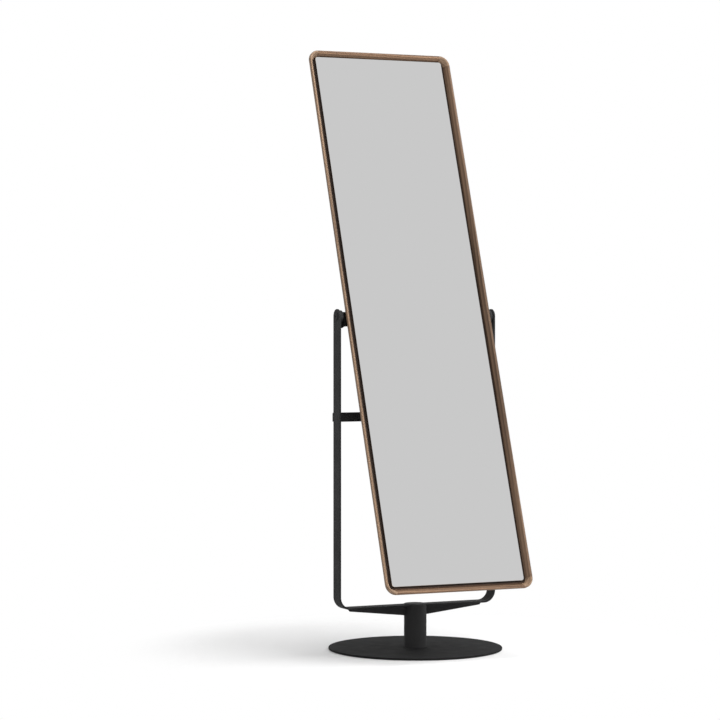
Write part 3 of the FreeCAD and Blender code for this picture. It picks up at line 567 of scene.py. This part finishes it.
def painted_board(name, base):
    """Hardboard with a thin black paint that lets its felted surface show, and painted light along its foot.
    """
    finish = Finish(name, Specular_IOR_Level=0.3)
    felt = finish.noise((420, 420, 260), detail=4, roughness=0.65, distortion=0.6)
    patch = finish.noise(7)
    bright = finish.maths("MULTIPLY", finish.spread(felt, 0.6, 1.6), finish.spread(patch, 0.85, 1.2))
    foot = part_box("back_board")[0].z
    # Painted light: brighter towards the foot of the board.
    painted_light = finish.ranged(finish.axis("Z"), foot, foot + PAINTED_LIGHT_HEIGHT, PAINTED_LIGHT_BRIGHTNESS, 1.0)
    finish.feed("Base Color", finish.dimmed(opaque(base), finish.maths("MULTIPLY", bright, painted_light)))
    finish.feed("Roughness", finish.spread(felt, 0.72, 0.86))
    finish.bump(felt, strength=0.25, distance=0.0003)
    return finish.material


def silvered(name, base):
    """Mirror face: silver behind clear glass, with the faintest wiping marks in its gloss."""
    finish = Finish(name, Base_Color=opaque(base), Metallic=1.0)
    wipe = finish.noise((9, 9, 2.5), detail=3, distortion=1.5)
    finish.feed("Roughness", finish.ranged(wipe, 0.4, 0.8, 0.0, 0.02))
    return finish.material


def grained(name, base, scale, shade, rough, bump, detail=2, **values):
    """A plain material with one fine grain, which shows in its colour, its gloss and its surface."""
    finish = Finish(name, **values)
    grain = finish.noise(scale, detail)
    finish.feed("Base Color", finish.blend(grain, opaque(base, shade), opaque(base)))
    finish.feed("Roughness", finish.spread(grain, *rough))
    finish.bump(grain, *bump)
    return finish.material


def ground_edge(name, base):
    """Seamed edge of the glass, finely scratched along its length."""
    return grained(name, base, (60, 2600, 60), 0.7, (0.25, 0.42), (0.15, 0.00005), Specular_IOR_Level=0.6)


def plated(name, base):
    """Bright zinc with the slight cloudiness of barrel plating."""
    return grained(name, base, 420, 0.86, (0.26, 0.42), (0.08, 0.00008), detail=3, Metallic=1.0)


def moulded(name, base, rough, scale, depth):
    """Moulded rubber, nylon or foam with a fine matt grain."""
    gloss = (rough - 0.06, rough + 0.06)
    return grained(name, base, scale, 0.8, gloss, (0.2, depth), Specular_IOR_Level=0.4)


FINISH_MAKERS = {
    # Walnut for each member, with painted light and shade for the side it stands on and painted shade in its
    # moulding.
    "walnut_top": lambda name, f: wood(name, f.top_light, f.top_dark, f.pore, painted_shade=TOP_PAINTED_SHADE),
    "walnut_bottom": lambda name, f: wood(name, f.bottom_light, f.bottom_dark, f.pore, painted_shade=BOTTOM_PAINTED_SHADE),
    "walnut_left": lambda name, f: wood(name, f.left_light, f.left_dark, f.pore,
                                        deep_at=LEFT_DEEP, painted_shade=LEFT_PAINTED_SHADE),
    "walnut_right": lambda name, f: wood(name, f.right_light, f.right_dark, f.pore,
                                         deep_at=RIGHT_DEEP, painted_shade=RIGHT_PAINTED_SHADE),
    "corner_wood": lambda name, f: wood(name, f.corner_light, f.corner_dark, f.pore, rings=CORNER_RINGS),
    "dowel_wood": lambda name, f: wood(name, f.dowel, opaque(f.dowel, 0.8)[:3], f.pore),
    "black_steel": lambda name, f: powder_coat(name, f.powder),
    # One black coat, lighter on the column and gussets as painted light, darker on the base and brackets as
    # painted shade.
    "column_steel": lambda name, f: powder_coat(name, f.column_powder_painted_light),
    "base_steel": lambda name, f: powder_coat(name, f.base_powder_painted_shade, rough=0.8, gloss=0.1),
    "bracket_steel": lambda name, f: powder_coat(name, f.bracket_powder_painted_shade, rough=0.8, gloss=0.1),
    "mirror_silver": lambda name, f: silvered(name, f.silver),
    "glass_edge": lambda name, f: ground_edge(name, f.glass_edge),
    "black_board": lambda name, f: painted_board(name, f.board),
    "zinc_steel": lambda name, f: plated(name, f.zinc),
    "black_rubber": lambda name, f: moulded(name, f.rubber, rough=0.7, scale=900, depth=0.00015),
    "black_nylon": lambda name, f: moulded(name, f.nylon, rough=0.5, scale=1500, depth=0.00008),
    "foam_tape": lambda name, f: moulded(name, f.foam, rough=0.85, scale=2200, depth=0.0002),
}


def finish_of(kind):
    """A finish by its kind, made on first use under a name of its own."""
    name = f"{kind}_finish"
    found = bpy.data.materials.get(name)
    if found is None:
        found = FINISH_MAKERS[kind](name, bpy.context.scene.standing_mirror.finish)
    return found


# Wooden frame

def moulding(head):
    """Section of the frame: x inwards from the outer side, y backwards from the rim."""
    back = head.lip_depth + head.board_thickness
    corners = [
        (0, 0), (head.rim_width, 0), (head.lip_width, head.lip_depth), (head.lip_width, back),
        (head.flange_reach, back), (head.flange_reach, head.frame_depth),
        (head.back_taper, head.frame_depth), (0, head.side_depth)]
    ease = head.edge_ease
    back_ease, side_ease = 2.5 * ease, 4 * ease
    radii = [head.rim_round, head.rim_ease, ease, 0, ease, ease, back_ease, side_ease]
    return rounded_outline(corners, radii)


class MIRROR_OT_straight_pieces(bpy.types.Operator):
    """Stiles and rails: straight mouldings with the grain along them"""
    bl_idname = "standing_mirror.straight_pieces"
    bl_label = "Stiles and rails"

    def execute(self, context):
        head = context.scene.standing_mirror.head
        section = moulding(head)
        half_width, half_height = head.frame_width / 2, head.frame_height / 2
        stile = head.frame_height - 2 * head.corner_radius
        rail = head.frame_width - 2 * head.corner_radius
        groove = head.joint_groove
        pieces = (
            ("stile_left", "walnut_left", stile, (-half_width, -stile / 2)),
            ("rail_top", "walnut_top", rail, (-rail / 2, half_height)),
            ("stile_right", "walnut_right", stile, (half_width, stile / 2)),
            ("rail_bottom", "walnut_bottom", rail, (rail / 2, -half_height)))
        for quarters, (name, kind, run, (x, z)) in enumerate(pieces):
            board_start = quarters * BOARD_STEP
            stations = ((0, groove), (groove, 0), (run - groove, 0), (run, groove))
            loops = [lifted(inset(section, amount), board_start + at, Matrix()) for at, amount in stations]
            turn = Matrix.Rotation(quarters * QUARTER, 4, "Y")
            corner = Matrix.Translation((x, -head.front_reach, z))
            matrix = head_matrix(head) @ corner @ turn @ Matrix.Translation((0, 0, -board_start))
            make_piece(f"{name}_moulding", solid(loops), kind, HEAD, [name], matrix)
        return {"FINISHED"}


class MIRROR_OT_corner_blocks(bpy.types.Operator):
    """Corner blocks: the same moulding round a quarter circle, cut from straight-grained wood"""
    bl_idname = "standing_mirror.corner_blocks"
    bl_label = "Corner blocks"
    STEPS = 20
    GRAIN = math.radians(45)

    def execute(self, context):
        head = context.scene.standing_mirror.head
        section = moulding(head)
        radius = head.corner_radius
        x, z = head.frame_width / 2 - radius, head.frame_height / 2 - radius
        pieces = (("corner_top_left", -x, z), ("corner_top_right", x, z),
                  ("corner_bottom_right", x, -z), ("corner_bottom_left", -x, -z))
        groove = head.joint_groove
        lead = groove / radius
        turns = [(QUARTER * step / self.STEPS, 0) for step in range(1, self.STEPS)]
        stations = [(0, groove), (lead, 0), *turns, (QUARTER - lead, 0), (QUARTER, groove)]
        for quarters, (name, across, up) in enumerate(pieces):
            board_start = CORNER_START + quarters * CORNER_STEP
            grain = Matrix.Rotation(self.GRAIN, 4, "Y") @ Matrix.Translation((0, 0, -board_start))
            to_board = grain.inverted()
            loops = []
            for turn, amount in stations:
                loop = []
                for p in inset(section, amount):
                    reach = radius - p.x
                    loop.append(to_board @ Vector((-reach * math.cos(turn), p.y, reach * math.sin(turn))))
                loops.append(loop)
            matrix = head_matrix(head) @ Matrix.Translation((across, -head.front_reach, up))
            matrix = matrix @ Matrix.Rotation(quarters * QUARTER, 4, "Y") @ grain
            make_piece(f"{name}_block", solid(loops), "corner_wood", HEAD, [name], matrix)
        dress("dowel_wood", "corner_dowels")
        return {"FINISHED"}


# Glass and back

class MIRROR_OT_glass(bpy.types.Operator):
    """Mirror glass with a ground edge, and what it is bonded to"""
    bl_idname = "standing_mirror.glass"
    bl_label = "Glass and board"
    SILVER, EDGE = 0, 1
    FRONT_FACING = -0.5

    def execute(self, context):
        head = context.scene.standing_mirror.head
        margin = head.glass_margin
        tall = head.frame_height - head.glass_foot - head.glass_head
        outline = rounded_outline(rectangle(head.frame_width - 2 * margin, tall),
                                  [head.corner_radius - margin] * 4, steps=12)
        middle = head.glass_recess + head.glass_thickness / 2 - head.front_reach
        rise = (head.glass_foot - head.glass_head) / 2
        bm = solid(plate_loops(outline, head.glass_thickness, head.glass_arris,
                               upright_plane(y=middle, z=rise), steps=1))
        bmesh.ops.recalc_face_normals(bm, faces=bm.faces)
        for face in bm.faces:
            face.material_index = self.SILVER if face.normal.y < self.FRONT_FACING else self.EDGE
        make_piece("mirror_sheet", bm, "mirror_silver glass_edge", HEAD, ["mirror_glass"],
                   head_matrix(head))
        dress("black_board", "back_board")
        dress("foam_tape", "glass_tape")
        return {"FINISHED"}


def row(count, pitch):
    """Places in a row about the middle."""
    return [(i - (count - 1) / 2) * pitch for i in range(count)]


def screw_mesh(head, reach):
    """One pan-head wood screw, drawn with its head up and its seat at zero, with a cross recess."""
    edge, top, shank = head.screw_head / 2, head.screw_head_height, head.screw_shank / 2
    tip, root, point = 0.35 * shank, 0.78 * shank, 2 * shank
    step, room, plain = 0.4 * shank, 0.45 * shank, 0.2 * shank
    profile = [(0, -reach), (tip, -reach), (shank, point - reach)]
    for i in range(max(int((reach - point) / room) // 2 * 2, 2)):
        profile.append((shank if i % 2 else root, point - reach + i * step))
    profile = [p for p in profile if p[1] < -plain] + [(shank, 0)]
    profile += dome(edge, top, shoulder=0.35, crown=0.55, steps=6)
    whole = solid(turned_loops(profile, Matrix(), segments=32))
    bars = []
    arm, slot, depth = 0.62 * edge, 0.16 * edge, 0.6 * top
    narrow, flare = 0.55, 1.1
    for turn in (0, QUARTER):
        spin = Matrix.Rotation(turn, 4, "Z")
        lower = [spin @ Vector((x * narrow, y, top - depth)) for x, y in rectangle(2 * arm, 2 * slot)]
        upper = [spin @ Vector((x * flare, y * flare, 2 * top)) for x, y in rectangle(2 * arm, 2 * slot)]
        bars.append([lower, upper])
    blank = bpy.data.objects.new("screw_blank", closed_mesh("screw_blank", whole))
    tool = bpy.data.objects.new("screw_recess", closed_mesh("screw_recess", solid(*bars)))
    for item in (blank, tool):
        bpy.context.scene.collection.objects.link(item)
    cut = blank.modifiers.new("recess", "BOOLEAN")
    cut.object = tool
    cut.operation = "DIFFERENCE"
    cut.solver = "EXACT"
    cut.use_self = True
    graph = bpy.context.evaluated_depsgraph_get()
    made = bpy.data.meshes.new_from_object(blank.evaluated_get(graph))
    for item in (blank, tool):
        bpy.data.objects.remove(item)
    return made


class MIRROR_OT_wood_screws(bpy.types.Operator):
    """Screws that hold the board and the brackets, each with its recess turned its own way"""
    bl_idname = "standing_mirror.wood_screws"
    bl_label = "Wood screws"
    TURN = math.radians(37)
    ON_STILE, ON_RAIL, ON_BRACKET = 6, 2, 3

    def execute(self, context):
        head = context.scene.standing_mirror.head
        across, up = head.frame_width / 2 - head.screw_line, head.frame_height / 2 - head.screw_line
        board, bracket = [], []
        for _, side in SIDES:
            board += [(side * across, z) for z in row(self.ON_STILE, head.screw_pitch)]
            board += [(x, side * up) for x in row(self.ON_RAIL, head.rail_pitch)]
            drop, pitch = head.bracket_screw_drop, head.bracket_screw_pitch
            bracket += [(side * across, -drop - i * pitch) for i in range(self.ON_BRACKET)]
        flange = head.frame_depth - head.lip_depth - head.board_thickness
        self.drive(head, "board_screws", board, 0.0, flange + head.screw_bite)
        self.drive(head, "bracket_screws", bracket, head.plate_thickness,
                   flange + head.plate_thickness + head.screw_bite)
        return {"FINISHED"}

    def drive(self, head, node, places, lift, reach):
        """Set a row of screws behind the frame, with their heads towards the back."""
        seat = head.frame_depth - head.front_reach + lift
        one = screw_mesh(head, reach)
        bm = bmesh.new()
        for order, (x, z) in enumerate(places):
            before = len(bm.verts)
            bm.from_mesh(one)
            bm.verts.ensure_lookup_table()
            matrix = Matrix.Translation((x, seat, z)) @ Matrix.Rotation(-QUARTER, 4, "X")
            matrix = matrix @ Matrix.Rotation(order * self.TURN, 4, "Z")
            bmesh.ops.transform(bm, matrix=matrix, verts=bm.verts[before:])
        bpy.data.meshes.remove(one)
        make_piece(f"{node}_driven", bm, "zinc_steel", HEAD, [node], head_matrix(head))


class MIRROR_OT_brackets(bpy.types.Operator):
    """Pivot brackets and rubber buffers on the back of the stiles"""
    bl_idname = "standing_mirror.brackets"
    bl_label = "Brackets and buffers"

    def execute(self, context):
        settings = context.scene.standing_mirror
        head, ease = settings.head, settings.stand.steel_ease
        back = head.frame_depth - head.front_reach
        inner = head.frame_width / 2 - head.flange_reach
        outer = inner + head.plate_width
        top, bottom = -head.plate_drop, -head.plate_drop - head.plate_length
        tab = head.lug_outside - head.lug_thickness / 2
        corners = [(inner, bottom), (outer, bottom), (outer, -head.lug_drop), (tab, -head.lug_drop),
                   (tab, top), (inner, top)]
        radii = [head.plate_round, head.plate_round, head.plate_notch, 0, 0, head.plate_round]
        outline = rounded_outline(corners, radii)
        plane = upright_plane(y=back + head.plate_thickness / 2)
        for hand, side in SIDES:
            plate = plate_loops(to_side(outline, side), head.plate_thickness, ease, plane)
            bm = solid(plate, self.lug(head, side, ease))
            make_piece(f"pivot_bracket_{hand}_bent", bm, "bracket_steel", HEAD, [f"pivot_bracket_{hand}"],
                       head_matrix(head))
            self.buffer(head, hand, side * (inner + head.plate_width / 2), back)
        return {"FINISHED"}

    def lug(self, head, side, ease):
        """Ear at the pivot: a plate along the frame's side, with its front edge turned in as a flange."""
        half, wall = head.lug_width / 2, head.lug_thickness
        outside = head.lug_outside
        inside = outside - wall
        corners = [(inside - head.lug_return, -half), (outside, -half), (outside, half), (inside, half),
                   (inside, wall - half), (inside - head.lug_return, wall - half)]
        radii = [ease, head.lug_bend, ease, ease, ease, ease]
        outline = to_side(rounded_outline(corners, radii), side)
        tall = head.lug_drop + head.lug_rise
        middle = (head.lug_rise - head.lug_drop) / 2
        return plate_loops(outline, tall, ease, Matrix.Translation((0, 0, middle)))

    def buffer(self, head, hand, across, back):
        """A low rubber dome with a rounded shoulder."""
        low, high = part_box("cross_bar")
        profile = dome(head.buffer_diameter / 2, head.buffer_height, shoulder=0.4, crown=0.45, steps=8)
        height = (low.z + high.z) / 2 - PIVOT.z
        matrix = Matrix.Translation((across, back, height)) @ Matrix.Rotation(-QUARTER, 4, "X")
        bm = solid(turned_loops([(0, 0), *profile], matrix, segments=40))
        make_piece(f"stop_buffer_{hand}_dome", bm, "black_rubber", HEAD, [f"stop_buffer_{hand}"],
                   head_matrix(head))


# Stand

class MIRROR_OT_base(bpy.types.Operator):
    """Base plate, column and cap"""
    bl_idname = "standing_mirror.base"
    bl_label = "Base and column"
    BASE_SEGMENTS, COLUMN_SEGMENTS = 256, 128

    def execute(self, context):
        stand = context.scene.standing_mirror.stand
        self.disc("base_plate", stand.base_diameter, self.BASE_SEGMENTS, stand.base_thickness,
                  stand.base_ease, "base_steel")
        radius, tall = stand.column_diameter / 2, stand.column_height
        profile = [(0, 0), (radius, 0), (radius, tall), (0, tall)]
        foot = Matrix.Translation((0, 0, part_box("base_plate")[1].z))
        bm = solid(turned_loops(profile, foot, self.COLUMN_SEGMENTS))
        make_piece("column_turned", bm, "column_steel", STAND, ["column_tube"])
        self.disc("column_cap", stand.column_diameter, self.COLUMN_SEGMENTS, stand.cap_thickness,
                  stand.cap_ease, "column_steel")
        dress("black_rubber", "floor_pad")
        dress("zinc_steel", "base_bolts", "column_foot")
        return {"FINISHED"}

    def disc(self, node, diameter, segments, thickness, ease, kind):
        """A round plate in the place of a packed one."""
        low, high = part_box(node)
        middle = Matrix.Translation((0, 0, (low.z + high.z) / 2))
        bm = solid(plate_loops(round_outline(diameter, segments), thickness, ease, middle))
        make_piece(f"{node}_disc", bm, kind, STAND, [node])


class MIRROR_OT_yoke(bpy.types.Operator):
    """Yoke bar: a flat bar with round ends, eased while flat and then bent up at both ends"""
    bl_idname = "standing_mirror.yoke"
    bl_label = "Yoke bar"
    BEND_STEPS = 14
    END_STEPS = 14

    def execute(self, context):
        stand = context.scene.standing_mirror.stand
        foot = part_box("yoke_bar")[0].z
        level = stand.yoke_width / 2 - stand.bend_radius
        bend = stand.bend_radius - stand.bar_thickness / 2
        arc = bend * QUARTER
        upright = PIVOT.z - foot - stand.bend_radius
        stations = [level + arc * step / self.BEND_STEPS for step in range(self.BEND_STEPS + 1)]
        stations.append(level + arc + upright)

        def bent(along, across, height):
            """A point of the flat bar, where the bending takes it. Height is towards the outside."""
            run = abs(along)
            if run <= level:
                x, z = run, foot + stand.bar_thickness / 2 - height
            elif run <= level + arc:
                turn = (run - level) / bend
                x = level + (bend + height) * math.sin(turn)
                z = foot + stand.bend_radius - (bend + height) * math.cos(turn)
            else:
                x = level + bend + height
                z = foot + stand.bend_radius + run - level - arc
            return Vector((math.copysign(x, along), across, z))

        levels = eased_levels(stand.bar_thickness, stand.steel_ease)
        half = stand.bar_width / 2
        rings = []
        for run in stations:
            rings.append([(run, half - amount, height) for height, amount in levels])
        for step in range(1, self.END_STEPS + 1):
            turn = QUARTER * step / self.END_STEPS
            ring = []
            for height, amount in levels:
                reach = half - amount
                ring.append((stations[-1] + reach * math.sin(turn), reach * math.cos(turn), height))
            rings.append(ring)
        loops = []
        for way in (-1, 1):
            for ring in (reversed(rings) if way < 0 else rings):
                near = [bent(way * run, across, height) for run, across, height in ring]
                far = [bent(way * run, -across, height) for run, across, height in reversed(ring)]
                loops.append(near + far)
        make_piece("yoke_bar_bent", solid(loops, caps=False), "black_steel", STAND, ["yoke_bar"])
        return {"FINISHED"}


class MIRROR_OT_braces(bpy.types.Operator):
    """Gussets under the bar and the cross bar behind the uprights"""
    bl_idname = "standing_mirror.braces"
    bl_label = "Gussets and cross bar"

    def execute(self, context):
        stand = context.scene.standing_mirror.stand
        low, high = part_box("gusset_right")
        tip = high.z - stand.gusset_tip
        reach = stand.yoke_width / 2 - stand.bend_radius
        corners = ((low.x, high.z), (low.x, low.z), (stand.gusset_reach, tip), (reach, high.z))
        outline = [Vector(corner) for corner in corners]
        for hand, side in SIDES:
            plate = to_side(outline, side)
            bm = solid(plate_loops(plate, stand.gusset_thickness, stand.steel_ease, upright_plane()))
            make_piece(f"gusset_{hand}_plate", bm, "column_steel", STAND, [f"gusset_{hand}"])
        low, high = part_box("cross_bar")
        middle = (low + high) / 2
        outline = rounded_outline(rectangle(high.x - low.x, high.z - low.z), [stand.cross_round] * 4)
        plane = upright_plane(y=middle.y, z=middle.z)
        bm = solid(plate_loops(outline, high.y - low.y, stand.steel_ease, plane))
        make_piece("cross_bar_flat", bm, "black_steel", STAND, ["cross_bar"])
        return {"FINISHED"}


class MIRROR_OT_pivots(bpy.types.Operator):
    """Pivot bolts, spacers and friction washers"""
    bl_idname = "standing_mirror.pivots"
    bl_label = "Pivots"
    SEGMENTS = 60
    EASE_STEPS = 4
    THREAD_DEPTH, CREST_START, CREST_END = 0.55, 0.45, 0.55
    SOCKET_FLARE = 1.12

    def execute(self, context):
        stand = context.scene.standing_mirror.stand
        bore = stand.pivot_diameter / 2 + stand.spacer_play
        edge, ease = stand.spacer_diameter / 2, stand.spacer_ease
        inside = stand.yoke_width / 2 - stand.bar_thickness - stand.spacer_length
        outside = inside + stand.spacer_length
        ring = rounded_outline([(bore, inside), (edge, inside), (edge, outside), (bore, outside)],
                               [0, ease, ease, 0], self.EASE_STEPS)
        for hand, side in SIDES:
            bm = solid(turned_loops(ring, outward(side), self.SEGMENTS), cyclic=True)
            make_piece(f"pivot_spacer_{hand}_turned", bm, "black_nylon", STAND, [f"pivot_spacer_{hand}"])
            self.bolt(stand, hand, side)
            dress("black_nylon", f"outer_washer_{hand}", f"inner_washer_{hand}")
            dress("zinc_steel", f"disc_spring_{hand}", f"lock_nut_{hand}")
        return {"FINISHED"}

    def bolt(self, stand, hand, side):
        """Shoulder bolt with a flat head, a hexagon socket and a thread at its inner end."""
        seat = stand.yoke_width / 2
        face = seat + stand.bolt_head_height
        low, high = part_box(f"pivot_bolt_{hand}")
        tail = min(abs(low.x), abs(high.x))
        crest, pitch = stand.thread_diameter / 2, stand.thread_pitch
        root = crest - self.THREAD_DEPTH * pitch
        profile = [(0, tail), (root, tail)]
        count = int(stand.thread_length / pitch)
        for i in range(count):
            profile += [(root, tail + i * pitch), (crest, tail + (i + self.CREST_START) * pitch),
                        (crest, tail + (i + self.CREST_END) * pitch)]
        neck = tail + count * pitch
        shoulder, edge, ease = stand.pivot_diameter / 2, stand.bolt_head / 2, stand.bolt_ease
        profile += [(root, neck), (shoulder, neck + stand.bolt_neck), (shoulder, seat), (edge, seat)]
        for step in range(self.EASE_STEPS + 1):
            turn = QUARTER * step / self.EASE_STEPS
            profile.append((edge - ease * (1 - math.cos(turn)), face - ease * (1 - math.sin(turn))))
        matrix = outward(side)
        loops = turned_loops(profile, matrix, self.SEGMENTS)
        socket = self.hexagon(stand.socket_width / math.sqrt(3))
        floor = face - stand.socket_depth
        rim = face - stand.socket_chamfer
        for scale, height in ((self.SOCKET_FLARE, face), (1, rim), (1, floor), (0, floor)):
            loops.append(lifted([p * scale for p in socket], height, matrix))
        make_piece(f"pivot_bolt_{hand}_turned", solid(loops, caps=False), "black_steel", STAND,
                   [f"pivot_bolt_{hand}"])

    def hexagon(self, corner):
        """A hexagon with as many points as the turned loops have."""
        corners = round_outline(2 * corner, 6)
        per_side = self.SEGMENTS // len(corners)
        points = []
        for first, last in zip(corners, corners[1:] + corners[:1]):
            points += [first.lerp(last, step / per_side) for step in range(per_side)]
        return points


# Stage

def studio_world(stage):
    """White behind everything, even light on the object, and a greyer ceiling in reflections."""
    world = bpy.data.worlds.new("studio")
    world.use_nodes = True
    world.node_tree.nodes.clear()
    nodes = Nodes(world.node_tree)
    path = nodes.node("LightPath").outputs
    direction = nodes.node("TexCoord").outputs["Generated"]
    height = nodes.node("SeparateXYZ", {0: direction}).outputs["Z"]
    grey = nodes.ranged(height, stage.ceiling_start, stage.ceiling_end, 1.0, stage.ceiling_grey, "SMOOTHSTEP")
    lamps = nodes.node("Background", {"Color": WHITE, "Strength": stage.sky_light})
    seen = nodes.node("Background", {"Color": WHITE, "Strength": grey})
    white = nodes.node("Background", {"Color": WHITE})
    mirrored = nodes.maths("MAXIMUM", path["Is Glossy Ray"], path["Is Transmission Ray"])
    shown = nodes.node("MixShader", {0: mirrored, 1: lamps.outputs[0], 2: seen.outputs[0]})
    shown = nodes.node("MixShader", {0: path["Is Camera Ray"], 1: shown.outputs[0], 2: white.outputs[0]})
    nodes.node("OutputWorld", {"Surface": shown.outputs[0]})
    return world


def pale_floor(stage):
    """White floor that keeps the soft shadow near the object and fades to white away from it."""
    grey = opaque((stage.floor_grey,) * 3)
    finish = Finish("pale_floor", Base_Color=grey, Roughness=0.9, Specular_IOR_Level=0.0)
    plain = finish.shader.outputs[0]
    away = finish.node("VectorMath", {0: finish.here}, operation="LENGTH").outputs["Value"]
    far = finish.ranged(away, stage.fade_start, stage.fade_end, how="SMOOTHSTEP")
    path = finish.node("LightPath").outputs
    seen = finish.maths("MAXIMUM", path["Is Camera Ray"], path["Is Glossy Ray"])
    seen = finish.maths("MAXIMUM", seen, path["Is Transmission Ray"])
    white = finish.node("Emission", {"Color": WHITE, "Strength": 1.0})
    lift = finish.node("Emission", {"Color": WHITE, "Strength": stage.floor_lift})
    near = finish.node("AddShader", {0: plain, 1: lift.outputs[0]})
    faded = finish.node("MixShader", {0: far, 1: near.outputs[0], 2: white.outputs[0]})
    shown = finish.node("MixShader", {0: seen, 1: plain, 2: faded.outputs[0]})
    finish.tree.links.new(shown.outputs[0], finish.tree.nodes["Material Output"].inputs["Surface"])
    return finish.material


class MIRROR_OT_stage(bpy.types.Operator):
    """Camera, lamps and a pale floor"""
    bl_idname = "standing_mirror.stage"
    bl_label = "Stage"
    SENSOR_WIDTH = 36
    LAMP_TARGETS = {"key": (0, 0, 0.8), "fill": (0, 0, 0.6), "top": (0, 0, 0)}

    def execute(self, context):
        scene = context.scene
        stage = scene.standing_mirror.stage
        scene.view_settings.view_transform = "Standard"
        scene.world = studio_world(stage)
        bm = bmesh.new()
        outline = round_outline(2 * stage.floor_radius, stage.segments)
        bm.faces.new([bm.verts.new((p.x, p.y, 0)) for p in outline])
        mesh = bpy.data.meshes.new("floor")
        bm.to_mesh(mesh)
        bm.free()
        mesh.materials.append(pale_floor(stage))
        floor = bpy.data.objects.new("floor", mesh)
        scene.collection.objects.link(floor)
        self.lamp(scene, "key", stage.key_width, stage.key_height)
        self.lamp(scene, "fill", stage.fill_size, stage.fill_size)
        self.lamp(scene, "top", stage.top_size, stage.top_size)
        camera = bpy.data.cameras.new("camera")
        camera.lens = stage.camera_lens
        camera.sensor_width = self.SENSOR_WIDTH
        camera.shift_y = stage.camera_rise
        holder = bpy.data.objects.new("camera", camera)
        holder.location = stage.camera_place
        holder.rotation_euler = (QUARTER, 0, stage.camera_turn)
        scene.collection.objects.link(holder)
        scene.camera = holder
        return {"FINISHED"}

    def lamp(self, scene, name, width, height):
        """A soft lamp that lights the object but doesn't show in the mirror."""
        stage = scene.standing_mirror.stage
        data = bpy.data.lights.new(name, "AREA")
        data.shape = "RECTANGLE"
        data.size, data.size_y = width, height
        data.energy = getattr(stage, f"{name}_power")
        lamp = bpy.data.objects.new(name, data)
        lamp.visible_glossy = False
        lamp.location = getattr(stage, f"{name}_place")
        facing = Vector(self.LAMP_TARGETS[name]) - lamp.location
        lamp.rotation_euler = facing.to_track_quat("-Z", "Y").to_euler()
        scene.collection.objects.link(lamp)


class MIRROR_PT_panel(bpy.types.Panel):
    """Sidebar list of the mirror's settings and pieces"""
    bl_idname = "MIRROR_PT_panel"
    bl_label = "Standing mirror"
    bl_space_type = "VIEW_3D"
    bl_region_type = "UI"
    bl_category = "Mirror"

    def draw(self, context):
        settings = context.scene.standing_mirror
        for name in ("head", "stand", "finish", "stage"):
            box = self.layout.box()
            group = getattr(settings, name)
            for item in group.bl_rna.properties:
                if item.identifier not in ("rna_type", "name"):
                    box.prop(group, item.identifier)
        for operator in OPERATORS:
            self.layout.operator(operator.bl_idname)


OPERATORS = (MIRROR_OT_straight_pieces, MIRROR_OT_corner_blocks, MIRROR_OT_glass, MIRROR_OT_wood_screws,
             MIRROR_OT_brackets, MIRROR_OT_base, MIRROR_OT_yoke, MIRROR_OT_braces, MIRROR_OT_pivots,
             MIRROR_OT_stage)
CLASSES = (MirrorHeadSettings, StandSettings, FinishSettings, StageSettings, StandingMirrorSettings,
           *OPERATORS, MIRROR_PT_panel)


def register():
    for item in CLASSES:
        bpy.utils.register_class(item)
    bpy.types.Scene.standing_mirror = PointerProperty(type=StandingMirrorSettings)


def unregister():
    del bpy.types.Scene.standing_mirror
    for item in reversed(CLASSES):
        bpy.utils.unregister_class(item)


def main():
    register()
    mirror = bpy.ops.standing_mirror
    mirror.straight_pieces()
    mirror.corner_blocks()
    mirror.glass()
    mirror.wood_screws()
    mirror.brackets()
    mirror.base()
    mirror.yoke()
    mirror.braces()
    mirror.pivots()
    mirror.stage()


if __name__ == "__main__":
    main()
